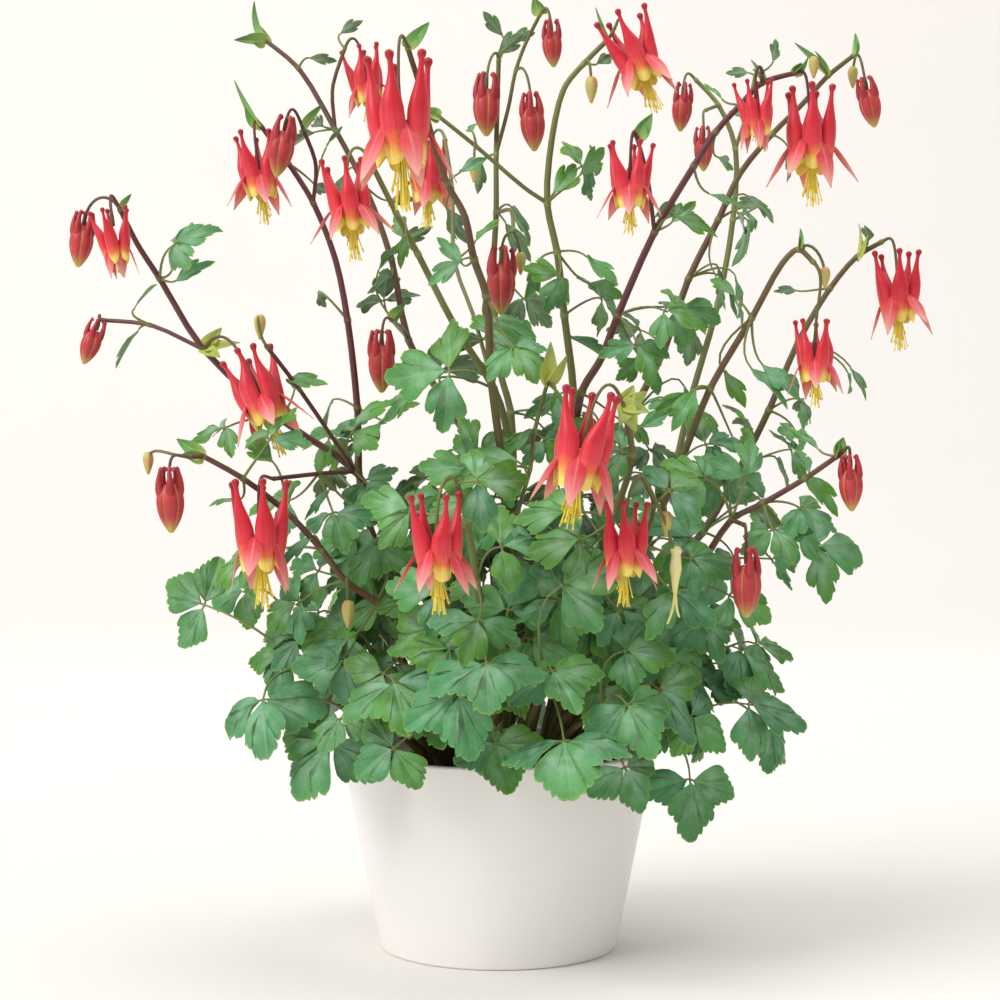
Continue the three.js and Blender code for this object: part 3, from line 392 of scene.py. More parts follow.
        "leaves": [[1, 5, 25, 220, -6, 10], [0, 1, 1, 164, -6, 18]],
        "extra": [
            [1, 2, 1, 202, -8, 12], [0, 2, -36, 179, 10, 15], [0, 3, -9, 191, -6, 15],
            [1, 2, 1, 175, -6, 17], [1, 2, 19, 172, 6, 15], [1, 3, 1, 196, -6, 14], [0, 1, -24, 146, 6, 17],
            [0, 1, -8, 134, -6, 17], [1, 4, 9, 208, -4, 11], [1, 5, 25, 224, -4, 10],
        ],
        "bracts": [[1, 5, 20, 246, 0, 6]],
        "blooms": [[0, 3, -25, 162, -6, 45, 3, 2]],
    },
]

# Each low leaf's groups of leaflets, and the leaves added to it: x, z, depth and leaflet length.
LOW_LEAVES = [
    {
        "name": "leaf_left",
        "units": [[-97, 101, -58, 22], [-82, 126, -36, 17], [-121, 140, -30, 20]],
        "extra": [[-74, 137, -14, 18], [-88, 120, -30, 15], [-104, 146, -14, 15]],
    },
    {
        "name": "leaf_front_left",
        "units": [[-69, 84, -64, 19], [-63, 117, -60, 16], [-43, 108, -82, 19]],
        "extra": [[-65, 93, -66, 15], [-63, 130, -40, 16], [-47, 142, -40, 16]],
    },
    {
        "name": "leaf_front_low_left",
        "units": [[-43, 81, -84, 15], [-17, 103, -98, 19], [-27, 129, -68, 16]],
        "extra": [[-20, 122, -75, 17], [-34, 142, -50, 15]],
    },
    {
        "name": "leaf_front",
        "units": [[-5, 116, -98, 20], [-1, 83, -84, 15], [4, 138, -78, 17]],
        "extra": [[1, 113, -76, 18], [-10, 136, -72, 18], [-18, 146, -40, 15], [-3, 155, -40, 17]],
    },
    {
        "name": "leaf_front_low_right",
        "units": [[27, 84, -104, 23], [22, 113, -90, 18], [26, 148, -88, 19]],
        "extra": [[13, 126, -70, 19], [19, 142, -60, 17], [38, 134, -60, 17]],
    },
    {
        "name": "leaf_front_right",
        "units": [[52, 73, -80, 16], [53, 99, -90, 20], [52, 121, -74, 16]],
        "extra": [[66, 105, -72, 18], [42, 122, -60, 16], [64, 122, -58, 16], [58, 142, -40, 17]],
    },
    {
        "name": "leaf_right_low",
        "units": [[79, 68, -66, 21], [79, 94, -58, 17], [103, 99, -44, 20]],
        "extra": [[68, 93, -50, 16], [83, 109, -30, 16]],
    },
    {
        "name": "leaf_right",
        "units": [[99, 122, -20, 19], [112, 90, -8, 17], [85, 138, -36, 17]],
        "extra": [[106, 124, -10, 17], [93, 115, -20, 16], [79, 126, -20, 18], [71, 142, -30, 17]],
    },
]

# The leaves behind grow by rule, two tiers of three leaflet groups on each foot.
BACK_LEAVES = {
    "names": ["leaf_back_right", "leaf_back", "leaf_back_left"],
    "azimuths": [32, 90, 148],
    "draw": 7,
    "tiers": [
        {"reach": 88, "height": 99, "spread": 18, "turn": -4, "leaflet": 20, "climb": 4},
        {"reach": 60, "height": 134, "spread": 19, "turn": -8, "leaflet": 17, "climb": 7},
    ],
}

GOLDEN_ANGLE = 2.39996
SMOOTH_ANGLE = math.radians(50)
SOIL_LEVEL = 0.074
SOCKET_DEPTH = 0.006
GAP = 0.0003
NEAR_AXIS = 0.005

# Stems. Their tone is 0 for purple, 0.5 for olive green and 1 for young green.
BORNE = ("leaves", "extra", "bracts", "blooms", "buds", "young")
STEM_TIP = 0.0011
MAIN_TIP, BRANCH_TIP = 0.66, 0.74  # shares of it
TIP_ROOT = 0.0012
BRANCH_RADIUS = 0.00065
BRANCH_FULLNESS = 1.4
BRANCH_SIDES = 8
BRANCH_AGE = 0.8  # a branch has its stem's tone at this share of the stem
JOINT_SWELL = 1.22
JOINT_TONE = 0.45  # a joint is this much younger in tone
JOINT_LENGTH = 0.0016
SHORT_SPAN = 0.003  # a stretch between joints shorter than this has no points between
FOOT_TONE, FLUSH_DEPTH = 0.8, 0.78
FLUSH_START, FLUSH_CLIMB = 0.4, 1.3
PEDICEL_STEPS = 12
PEDICEL_FOOT, PEDICEL_NECK, PEDICEL_SEAT = 0.0008, 0.0006, 0.00085

# Leaves. Their tint is 0 for blue-green, 1 for fresh green and 2 for a dark green that paints in the shade of
# the plant's heart.
LEAFY_START, LEAFY_HEIGHT = 0.1, 0.25  # stem leaves grow fresher from the first height upwards
SIMPLE_SIZE = 13  # leaves up to this size have one blade only
LEAFLET_ANGLE = math.radians(78)
LEAFLET_BEND = 0.2  # how far a leaflet's tip bends down, as a share of its length
LEAF_OUT, LEAF_UP, LEAF_SWAY = 0.8, 0.52, 0.28  # how far a leaf looks outwards, upwards and anyhow
LEAF_DRAW = 0.25  # how far its middle leaflet is drawn outwards
LEAF_SPIN = 0.45
FRONT_START, FRONT_DEPTH, FRONT_TURN = 0.045, 0.09, 1.2
LEAF_STALK_RADII = (0.0006, 0.0004)
LEAFLET_STALK_RADII = [0.0005, 0.0004]
STALK_BOW, STALK_RISE = 0.35, 0.05
STALK_STEPS = 6
SIMPLE_SETBACK = 0.35  # a single blade's foot stands this share of its length before its middle
LEAF_GROWTH, LEAFLET_GROWTH = (0.88, 1.1), (0.94, 1.06)
SIDE_LEAFLET = 0.88  # its length as a share of the middle one's
HUB_LIFT, HUB_GAP, SIMPLE_GAP, LEAFLET_FOOT = 0.05, 0.07, -0.01, 0.09
MIDDLE_PITCH, SIDE_PITCH = (-0.2, 0.25), (-0.1, 0.4)
LEAFLET_YAW, LEAFLET_ROLL = 0.14, 0.35
TINT_SPREAD = (-0.5, 0.6)
STEM_LEAF_HANG, LOW_LEAF_HANG = -0.12, 0.45
STEM_LEAF_TONE, LOW_LEAF_TONE = 0.7, 0.75

LOW_LEAF_RING = 0.029
# Painted shade: the leaves nearest the pot's axis take the dark green of the plant's heart.
LOW_LEAF_TINTS = [2.0, 2.0, 1.1, 0.2]  # at each TINT_STEP out from the pot's axis
TINT_STEP = 0.03
PETIOLE_RADII = (0.0014, 0.001)
PETIOLE_SIDES = 8
PETIOLE_REACH, PETIOLE_RISE = 0.72, 0.005  # how far it goes towards its leaflets, and how far over
KNEE_REACH, KNEE_RISE = 0.42, 0.62
PETIOLE_TONES = (0.12, 0.5)  # at its foot, and how much it gains to its top

# The inner leaves stand in a low dome, their reach and height in metres.
DOME_START, DOME_REACH, DOME_EDGE = 0.02, 0.062, 0.085
DOME_FOOT, DOME_RISE = 0.1, 0.075
DOME_JITTER = (-0.014, 0.016)
INNER_SIZES = (14, 18)

# Bracts. The wider ones, of a width over PALE_WIDTH, are pale. A fan's blades are (turn, length share).
BRACT_THICKNESS = 0.0003
BRACT_GRID = (4, 9)
BRACT_CURL = (-0.15, 0.12)
BRACT_ROLL, BRACT_JITTER, BRACT_LIFT = 0.6, 0.12, -0.4
PALE_WIDTH = 5
BRACT_HALF, PALE_HALF = 0.7, 0.5
BRACT_FAN = ((0.0, 1.15), (0.3, 0.65))
PALE_FAN = ((0.0, 1.15), (0.75, 0.8), (-0.62, 0.95))

# A young bud: height and radius as shares of its length, from its tip up.
YOUNG_BUD_PROFILE = [
    (-0.62, 0.0), (-0.6, 0.05), (-0.48, 0.1), (-0.3, 0.17), (-0.1, 0.23), (0.1, 0.26), (0.25, 0.25),
    (0.38, 0.2), (0.45, 0.12), (0.46, 0.0),
]
YOUNG_STALK_RADIUS = 0.0006
YOUNG_STALK_STEPS = 8
YOUNG_STALK_TONE = 0.5

# A spent flower's cup in the same way, from its top down, and its styles as (sideways, down).
SPENT_SIZE = 12  # a young bud of this length or more is a spent flower instead
SPENT_CUP = [
    (0.55, 0.0), (0.52, 0.13), (0.4, 0.2), (0.28, 0.14), (0.1, 0.17), (-0.15, 0.2), (-0.5, 0.13),
    (-0.9, 0.07),
]
SPENT_LEAN = 0.03
SPENT_STYLES = ((-0.25, 1.35), (0.12, 1.15))
SPENT_STYLE_RADII = (0.0007, 0.0004)
SPENT_STYLE_STEPS = 7

# The soil dips towards the wall: how far, how far short of it, its last ring's radius and height over
# that dip, and the two parts of its bed's radius. Loose crumbs lie on it and follow the slope.
SOIL_DROP, SOIL_GAP, SOIL_SHOULDER = 0.0025, 0.0006, (0.0585, 0.0008)
BED_RADII, BED_RINGS = (0.04, 0.02), 20
SOIL_LUMPS = 130
CRUMB_REACH, CRUMB_FALL = 0.0575, 0.0018
SLOPE_START, SLOPE_WIDTH = 0.045, 0.0125

# The backdrop, in metres: its width, the floor's start and its whole run, and the bend up to the wall.
SWEEP_WIDTH, SWEEP_START, SWEEP_RUN = 8, 3.0, 7.0
BEND_RADIUS, BEND_START = 1.2, 1.6
LIGHT_AIM = Vector((0, 0, 0.18))
EYE_ASIDE = 0.0006

# A bloom and a bud as long as these; their own tables below are in millimetres at that size.
BLOOM_LENGTH = 49
BUD_LENGTH = 27
BLOOM_SEAT, BLOOM_RISE = 1, 0.66
BUD_SEAT, BUD_RISE = 7, 0.85
SEPAL_FALL = (0.9, 1.1)  # how far the sepals hang below level, in radians, as all turns here
HALF_OPEN_BUDS = ("bud_02", "bud_11")
HALF_OPEN_LENGTH, HALF_OPEN_FALL = 42, 1.42
HALF_OPEN_STAMENS, HALF_OPEN_TUFT = 8, 0.75
YOUNG_SPUR_LEAN = (-0.05, 0.08)

# One petal from inside its throat, round its lip and up to the knob of its spur: height, distance
# from the flower's axis, half width, half depth, and how far its outer side hangs below its inner one.
PETAL_RINGS = [
    (2.6, 6.4, 0.0, 0.0, 0.0), (1.8, 6.3, 1.3, 1.2, 0.0), (-1.8, 6.1, 2.5, 2.1, 0.6),
    (-4.5, 5.8, 2.6, 2.0, 2.2), (-6.6, 5.7, 2.7, 1.9, 3.9), (-6.9, 5.8, 2.9, 2.2, 4.2),
    (-5.9, 5.9, 3.1, 2.5, 3.2), (-3.7, 6.1, 3.4, 2.8, 1.6), (-1.0, 6.4, 3.75, 3.1, 0.5),
    (2.3, 6.8, 3.9, 3.2, 0.0), (5.4, 7.0, 3.8, 3.1, 0.0), (8.1, 7.2, 3.25, 2.75, 0.0),
    (10.8, 7.3, 2.4, 2.2, 0.0), (13.7, 7.4, 1.6, 1.5, 0.0), (16.8, 7.6, 1.0, 1.0, 0.0),
    (19.8, 7.9, 0.85, 0.85, 0.0), (21.1, 8.1, 1.35, 1.35, 0.0), (22.5, 8.2, 1.3, 1.3, 0.0),
    (23.2, 8.2, 0.0, 0.0, 0.0),
]
PETAL_SIDES = 14
LIP_POWER = 1.4
SPUR_FOOT, SPUR_HEIGHT = 4.0, 20  # a spur sways above its foot
SPUR_SWAY_OUT, SPUR_SWAY_ASIDE, PETAL_TILT = (-1.5, 3.2), 2.4, (-0.04, 0.12)

# A sepal's half width at shares of its length, and where its foot sits: distance out and height.
SEPAL_WIDTHS = [0.9, 1.3, 2.0, 2.8, 3.35, 3.5, 3.2, 2.6, 1.8, 0.9, 0.1]
SEPAL_LENGTH = 23.0
SEPAL_FOOT = (4.2, 2.4)
SEPAL_THICKNESS = 0.00025
SEPAL_TURN, SEPAL_DROOP, SEPAL_ROLL = 0.1, 0.25, 0.2

# The tuft, in millimetres: heights and radii of its base, then how far down its threads end and how
# far apart they spread.
TUFT_BASE = ((-2.5, 1.2), (-1, 1.7), (1, 1.7), (2.4, 0.9))
STYLES = 5
STYLE_ENDS, STAMEN_ENDS = (23.0, 25.2), (16.0, 24.2)
STYLE_SPREAD, STAMEN_SPREAD = (0.3, 1.6), (0.8, 4.2)
THREAD_START = (0.6, 1.5)  # out and down
THREAD_STEPS = 4
THREAD_RADIUS = 0.00022
THREAD_TURN = 0.2
ANTHER_RADIUS = 0.00055
ANTHER_SHAPE = (0.8, 0.6, 1.5, 1)

# The closed bud's radius at each height, from its tip up to its seat, and one of its young spurs as
# height, distance from the axis and radius.
BUD_PROFILE = [
    (-13.5, 0.0), (-13.3, 0.9), (-12.2, 1.8), (-10.2, 3.1), (-7.6, 4.4), (-4.6, 5.4), (-1.2, 5.9),
    (2.0, 5.6), (4.5, 4.6), (6.3, 3.2), (7.0, 1.6), (7.1, 0.0),
]
BUD_SPUR = [
    (0.5, 3.2, 0.0), (1.2, 3.7, 1.8), (4.5, 4.3, 1.95), (7.5, 4.5, 1.5), (10.0, 4.3, 1.05), (11.8, 3.9, 0.85),
    (12.8, 3.4, 1.2), (13.2, 2.8, 1.2), (13.2, 2.2, 0.0),
]


# ---------------------------------------------------------------- settings
class ColumbinePotSettings(bpy.types.PropertyGroup):
    rim_radius: length_property("Rim radius", "Outer radius of the pot at its rim", 0.065)
    foot_radius: length_property("Foot radius", "Outer radius of the pot at its foot", 0.0485)
    height: length_property("Height", "Height of the pot", 0.082)
    wall: length_property("Wall", "Thickness of the pot's wall", 0.003)
    floor: length_property("Floor", "Thickness of the pot's floor", 0.005)
    rounding: length_property("Rounding", "Radius of the rim's and the foot's rounded edges", 0.0013)
    glaze: colour_property("Glaze", "Colour of the glaze", paint(249, 246, 243))


class ColumbineSoilSettings(bpy.types.PropertyGroup):
    relief: length_property("Relief", "How far the soil's crumbs stand up and down", 0.0016)
    crumbs: number_property("Crumbs", "Loose crumbs on the soil's surface", 260, min=0)
    crumb_size: length_property("Crumb size", "Mean radius of a crumb", 0.0011)
    dark: colour_property("Dark", "Colour of the damp soil", paint(44, 30, 22))
    light: colour_property("Light", "Colour of the dry specks", paint(120, 94, 66))


class ColumbineStemSettings(bpy.types.PropertyGroup):
    fullness: number_property(
        "Fullness", "Thickness of the stems as a share of the plain model's", 1.27, min=0.5, max=2
    )
    sides: number_property("Sides", "Sides of a stem's section", 10, min=3)
    young: colour_property("Young", "Colour of young stalks", paint(126, 146, 78))
    old: colour_property("Old", "Colour of green stems", paint(108, 108, 56))
    purple: colour_property("Purple", "Colour of stems flushed by the sun", paint(96, 46, 44))


class ColumbineLeafSettings(bpy.types.PropertyGroup):
    fullness: number_property(
        "Fullness", "Length of the leaflets as a share of the plain model's", 1.0, min=0.5, max=2
    )
    inner: number_property("Inner leaves", "Leaves that fill the plant's heart", 42, min=0)
    thickness: number_property(
        "Thickness", "Thickness of a leaflet as a share of its length", 0.016, min=0.001, max=0.1
    )
    # Powder and pale make a bloom that is partly the leaves' real powder and partly a painted sheen.
    powder_and_sheen: number_property("Powder", "Strength of the pale bloom on the leaves", 0.42, min=0, max=1)
    glaucous: colour_property("Glaucous", "Blue-green of the full-grown leaves", paint(87, 160, 103))
    fresh: colour_property("Fresh", "Green of the younger leaves", paint(98, 160, 48))
    # Painted shade: this dark green stands in for the shade that falls in the plant's heart.
    shade: colour_property("Shade", "Green of the leaves in the plant's heart", paint(17, 48, 2))
    deep: colour_property("Deep", "Darkest green in the leaves", paint(15, 62, 9))
    # Partly the real bloom's colour, partly a painted sheen.
    pale: colour_property("Pale", "Colour of the leaves' pale bloom", paint(188, 224, 202))
    under: colour_property("Underside", "Pale green of the undersides", paint(110, 152, 104))
    margin: colour_property("Margin", "Colour of the leaves' thin edges", paint(158, 186, 92))
    vein: colour_property("Vein", "Colour of the veins", paint(150, 186, 140))


class ColumbineBloomSettings(bpy.types.PropertyGroup):
    stamens: number_property("Stamens", "Stamens in one bloom", 24, min=5)
    spur: colour_property("Spur", "Colour of the spurs", paint(212, 26, 48))
    knob: colour_property("Knob", "Colour of the spurs' tips", paint(172, 12, 34))
    glow: colour_property("Glow", "Colour where the spur turns to the blade", paint(244, 120, 66))
    blade: colour_property("Blade", "Colour of the petals' blades", paint(255, 232, 114))
    sepal: colour_property("Sepal", "Colour of the sepals' feet", paint(214, 40, 56))
    sepal_tip: colour_property("Sepal tip", "Colour of the sepals' tips", paint(242, 168, 158))
    filament: colour_property("Filament", "Colour of the stamens' stalks", paint(252, 234, 84))
    anther: colour_property("Anther", "Colour of the stamens' heads", paint(244, 214, 52))


class ColumbineBudSettings(bpy.types.PropertyGroup):
    red: colour_property("Red", "Colour of the bud's ridges", paint(196, 62, 64))
    shade: colour_property("Shade", "Colour of the bud's young spurs", paint(158, 34, 44))
    seam: colour_property("Seam", "Colour of the bud's seams", paint(206, 168, 104))
    tip: colour_property("Tip", "Colour of the bud's tip", paint(196, 190, 92))


class ColumbineStageSettings(bpy.types.PropertyGroup):
    backdrop: colour_property("Backdrop", "Colour of the floor and the wall behind", paint(244, 240, 235))
    key: power_property("Key", "Power of the key light", 95.0)
    fill: power_property("Fill", "Power of the fill light", 1.5)
    top: power_property("Top", "Power of the light above", 25.0)
    room: number_property("Room", "Strength of the light all round", 0.39)
    # Painted light: the wall glows with its own colour, though it is no lamp, so that it looks brighter.
    glow: number_property("Glow", "Strength of the wall's own light", 0.18)
    lens: number_property("Lens", "Focal length in millimetres", 78.8)
    tilt: number_property("Tilt", "How far the camera looks down", math.radians(1.26), subtype="ANGLE")


# ---------------------------------------------------------------- materials
def add_node(tree, kind, sockets=None, **settings):
    """A node with its settings, each socket given a value or wired to another node's socket."""
    node = tree.nodes.new(kind)
    for name, value in settings.items():
        setattr(node, name, value)
    for name, value in (sockets or {}).items():
        if isinstance(value, bpy.types.NodeSocket):
            tree.links.new(value, node.inputs[name])
        else:
            node.inputs[name].default_value = value
    return node


def calc(tree, operation, *values):
    sockets = dict(enumerate(values))
    return add_node(tree, "ShaderNodeMath", sockets, operation=operation).outputs[0]


def step_between(tree, value, low, high, start=0.0, end=1.0):
    """A soft step from start to end as the value passes from low to high."""
    sockets = {"Value": value, "From Min": low, "From Max": high, "To Min": start, "To Max": end}
    return add_node(tree, "ShaderNodeMapRange", sockets, interpolation_type="SMOOTHSTEP").outputs[0]


def blend_colours(tree, share, first, second, mode="MIX"):
    sockets = {0: share, 6: first, 7: second}
    return add_node(tree, "ShaderNodeMix", sockets, data_type="RGBA", blend_type=mode).outputs[2]


def colour_ramp(tree, share, stops):
    node = add_node(tree, "ShaderNodeValToRGB", {"Fac": share})
    elements = node.color_ramp.elements
    while len(elements) < len(stops):
        elements.new(1.0)
    for element, (position, colour) in zip(elements, stops):
        element.position = position
        element.color = opaque(colour)
    return node.outputs["Color"]


def attribute(tree, name):
    return add_node(tree, "ShaderNodeAttribute", attribute_name=name).outputs["Fac"]


def object_place(tree):
    return add_node(tree, "ShaderNodeTexCoord").outputs["Object"]


def cloud(tree, place, scale, detail):
    sockets = {"Vector": place, "Scale": scale, "Detail": detail}
    return add_node(tree, "ShaderNodeTexNoise", sockets).outputs["Fac"]


def drift_of(tree, value, strength):
    """A value about 0.5 turned into a drift about 0."""
    return calc(tree, "MULTIPLY", calc(tree, "SUBTRACT", value, 0.5), strength)


def streaks(tree, across, along, wide, long):
    """Fine streaks along a surface, so many across it and so many along it."""
    place = add_node(
        tree, "ShaderNodeCombineXYZ",
        {0: calc(tree, "MULTIPLY", across, wide), 1: calc(tree, "MULTIPLY", along, long)},
    ).outputs[0]
    return cloud(tree, place, 1.0, 3.0)


def surface_place(tree):
    """Across and along a piece's own surface, both from 0 to 1."""
    place = add_node(tree, "ShaderNodeUVMap", uv_map="UVMap").outputs[0]
    split = add_node(tree, "ShaderNodeSeparateXYZ", {0: place})
    return split.outputs["X"], split.outputs["Y"]


def new_material(name, roughness, **constants):
    """A material's node tree and its Principled shader, with constants set on the shader's sockets."""
    material = bpy.data.materials.new(name)
    material.use_nodes = True
    tree = material.node_tree
    shader = tree.nodes["Principled BSDF"]
    shader.inputs["Roughness"].default_value = roughness
    for socket, value in constants.items():
        shader.inputs[socket.replace("_", " ")].default_value = value
    return tree, shader


def new_effect(name, inputs, outputs):
    """A shader node group: inputs are (name, socket type, default), outputs (name, socket type)."""
    tree = bpy.data.node_groups.new(name, "ShaderNodeTree")
    for socket, kind, default in inputs:
        tree.interface.new_socket(socket, in_out="INPUT", socket_type=kind).default_value = default
    for socket, kind in outputs:
        tree.interface.new_socket(socket, in_out="OUTPUT", socket_type=kind)
    return tree, tree.nodes.new("NodeGroupInput").outputs, tree.nodes.new("NodeGroupOutput")


def use_effect(tree, name, sockets=None):
    return add_node(tree, "ShaderNodeGroup", sockets, node_tree=bpy.data.node_groups[name]).outputs


def mottled(tree, first, second, amount, scale):
    """The outputs of the mottle effect: its colour and its patches."""
    return use_effect(tree, "mottle", {"First": first, "Second": second, "Amount": amount, "Scale": scale})


def make_mottle_effect():
    """Soft patches of a second colour over the first, with fine grain, placed by Object coordinates."""
    tree, given, result = new_effect(
        "mottle",
        [("First", "NodeSocketColor", (1, 1, 1, 1)), ("Second", "NodeSocketColor", (0, 0, 0, 1)),
         ("Amount", "NodeSocketFloat", 0.5), ("Scale", "NodeSocketFloat", 100.0)],
        [("Color", "NodeSocketColor"), ("Patches", "NodeSocketFloat")],
    )
    place = object_place(tree)
    patches = step_between(tree, cloud(tree, place, given["Scale"], 4.0), 0.3, 0.7)
    share = calc(tree, "MULTIPLY", patches, given["Amount"])
    tree.links.new(blend_colours(tree, share, given["First"], given["Second"]), result.inputs["Color"])
    tree.links.new(patches, result.inputs["Patches"])


def make_vein_effect():
    """A leaflet's feathered veins, by its flat places, and its thin margin."""
    tree, given, result = new_effect(
        "leaf_veins",
        [("Spacing", "NodeSocketFloat", 0.15), ("Lean", "NodeSocketFloat", 1.35),
         ("Margin", "NodeSocketFloat", 0.05)],
        [("Vein", "NodeSocketFloat"), ("Edge", "NodeSocketFloat"), ("Middle", "NodeSocketFloat")],
    )
    across, along = surface_place(tree)
    side = calc(tree, "ABSOLUTE", across)
    taper = step_between(tree, along, 0.3, 1.0, 1.0, 0.25)
    middle = calc(tree, "MULTIPLY", step_between(tree, side, 0.006, 0.02, 1.0, 0.0), taper)
    wander = cloud(tree, add_node(tree, "ShaderNodeUVMap", uv_map="UVMap").outputs[0], 5.0, 1.0)
    start = calc(tree, "SUBTRACT", along, calc(tree, "MULTIPLY", side, given["Lean"]))
    start = calc(tree, "ADD", start, drift_of(tree, wander, 0.08))
    turn = calc(tree, "FRACT", calc(tree, "DIVIDE", start, given["Spacing"]))
    offset = calc(tree, "ABSOLUTE", calc(tree, "SUBTRACT", turn, 0.5))
    branches = step_between(tree, offset, 0.42, 0.5, 0.0, 0.5)
    branches = calc(tree, "MULTIPLY", branches, step_between(tree, side, 0.28, 0.42, 1.0, 0.3))
    tree.links.new(calc(tree, "MAXIMUM", middle, branches), result.inputs["Vein"])
    rim = calc(tree, "SUBTRACT", 1.0, attribute(tree, "rim"))
    tree.links.new(step_between(tree, rim, 0.0, given["Margin"], 1.0, 0.0), result.inputs["Edge"])
    tree.links.new(step_between(tree, rim, 0.0, 0.6), result.inputs["Middle"])


def finish_surface(tree, shader, colour, height=None, distance=0.0004, strength=0.5):
    tree.links.new(colour, shader.inputs["Base Color"])
    if height is not None:
        sockets = {"Height": height, "Distance": distance, "Strength": strength}
        bump = add_node(tree, "ShaderNodeBump", sockets)
        tree.links.new(bump.outputs["Normal"], shader.inputs["Normal"])


def make_glaze(look):
    tree, shader = new_material("pot_glaze", 0.34, Coat_Weight=0.25, Coat_Roughness=0.18)
    warm = tuple(value * 0.94 for value in look.glaze)
    mottle = mottled(tree, opaque(look.glaze), opaque(warm), 0.5, 18.0)
    finish_surface(tree, shader, mottle["Color"], mottle["Patches"], 0.0003, 0.15)


def make_soil_look(look):
    tree, shader = new_material("potting_soil", 0.92)
    place = object_place(tree)
    crumb = cloud(tree, place, 900.0, 6.0)
    speck = add_node(tree, "ShaderNodeTexVoronoi", {"Vector": place, "Scale": 700.0})
    specks = step_between(tree, speck.outputs["Distance"], 0.12, 0.2, 1.0, 0.0)
    grain = step_between(tree, crumb, 0.4, 0.72)
    share = calc(tree, "ADD", calc(tree, "MULTIPLY", grain, 0.45), calc(tree, "MULTIPLY", specks, 0.4))
    colour = blend_colours(tree, share, opaque(look.dark), opaque(look.light))
    finish_surface(tree, shader, colour, crumb, 0.0012, 0.9)


def make_stem_skin(look):
    """Stems by their tone: 0 purple, 0.5 olive green, 1 young green."""
    tree, shader = new_material("stem_skin", 0.5, Subsurface_Weight=0.05, Subsurface_Scale=0.001)
    place = object_place(tree)
    tone = calc(tree, "ADD", attribute(tree, "tone"), drift_of(tree, cloud(tree, place, 60.0, 3.0), 0.5))
    colour = colour_ramp(tree, tone, [(0.1, look.purple), (0.5, look.old), (0.9, look.young)])
    finish_surface(tree, shader, colour, cloud(tree, place, 900.0, 2.0), 0.0002, 0.4)


def make_leaf_look(look, name, first, second, vein_share, edge_share):
    """A leaflet's surface: patches, a paler bloom towards its middle that is partly the leaves' real powder
    and partly a painted sheen, veins, a thin light margin, and its own tint, up to the painted shade of the
    plant's heart."""
    tree, shader = new_material(
        name, 0.38, Subsurface_Weight=0.05, Subsurface_Scale=0.002, Specular_IOR_Level=0.3
    )
    tint = attribute(tree, "tint")
    # A tint of 2 paints the shade of the plant's heart into the leaf's colour.
    stops = [(0.0, first), (0.5, second), (1.0, look.shade)]
    body = colour_ramp(tree, calc(tree, "MULTIPLY", tint, 0.5), stops)
    mottle = mottled(tree, body, opaque(look.deep), 0.45, 45.0)
    veins = use_effect(tree, "leaf_veins")
    place = object_place(tree)
    # Painted sheen: pale patches towards the middle of the leaflet, partly the leaves' real bloom.
    bloom = step_between(tree, cloud(tree, place, 130.0, 3.0), 0.3, 0.75)
    powder_and_sheen = calc(tree, "MULTIPLY", calc(tree, "MULTIPLY", bloom, veins["Middle"]), look.powder_and_sheen)
    colour = blend_colours(tree, powder_and_sheen, mottle["Color"], opaque(look.pale))
    colour = blend_colours(tree, calc(tree, "MULTIPLY", veins["Vein"], vein_share), colour, opaque(look.vein))
    edge = calc(tree, "MULTIPLY", veins["Edge"], edge_share)
    colour = blend_colours(tree, edge, colour, opaque(look.margin))
    cells = add_node(
        tree, "ShaderNodeTexVoronoi", {"Vector": place, "Scale": 900.0}, feature="DISTANCE_TO_EDGE"
    )
    net = step_between(tree, cells.outputs["Distance"], 0.0, 0.12)
    groove = calc(tree, "MULTIPLY", veins["Vein"], 0.4)
    height = calc(tree, "SUBTRACT", calc(tree, "MULTIPLY", net, 0.3), groove)
    finish_surface(tree, shader, colour, height, 0.0003, 0.5)


def ring_share(ring):
    return ring / (len(PETAL_RINGS) - 1)


def make_petal_look(look):
    tree, shader = new_material(
        "petal", 0.42, Subsurface_Weight=0.12, Subsurface_Scale=0.002, Sheen_Weight=0.15
    )
    across, along = surface_place(tree)
    streak = streaks(tree, across, along, 26.0, 3.0)
    drift = drift_of(tree, cloud(tree, object_place(tree), 120.0, 2.0), 0.1)
    light = tuple(min(1.0, value * 1.15 + 0.03) for value in look.spur)
    colour = colour_ramp(tree, calc(tree, "ADD", along, drift), [
        (0.0, look.glow), (ring_share(2), look.blade), (ring_share(6.3), look.blade),
        (ring_share(7.2), look.glow), (ring_share(8.2), light), (ring_share(10.5), look.spur),
        (ring_share(14.5), look.spur), (ring_share(16), look.knob),
    ])
    shaded = blend_colours(
        tree, step_between(tree, streak, 0.45, 0.75, 0.0, 0.35), colour, opaque(look.knob), "MULTIPLY"
    )
    finish_surface(tree, shader, shaded, streak, 0.0004, 0.35)


def middle_rib(tree, across, inner, outer, strength):
    aside = calc(tree, "ABSOLUTE", calc(tree, "SUBTRACT", across, 0.5))
    return step_between(tree, aside, inner, outer, strength, 0.0)


def make_sepal_look(look):
    tree, shader = new_material(
        "sepal", 0.45, Subsurface_Weight=0.12, Subsurface_Scale=0.002, Sheen_Weight=0.15
    )
    across, along = surface_place(tree)
    streak = streaks(tree, across, along, 14.0, 2.0)
    drift = drift_of(tree, streak, 0.35)
    middle = tuple((a + b) / 2 for a, b in zip(look.sepal, look.sepal_tip))
    green_tip = paint(150, 140, 70)
    colour = colour_ramp(tree, calc(tree, "ADD", along, drift), [
        (0.42, look.sepal), (0.72, middle), (0.93, look.sepal_tip), (0.99, green_tip),
    ])
    rib = middle_rib(tree, across, 0.0, 0.12, 0.3)
    colour = blend_colours(tree, rib, colour, opaque(look.sepal_tip))
    finish_surface(tree, shader, colour, streak, 0.0003, 0.35)


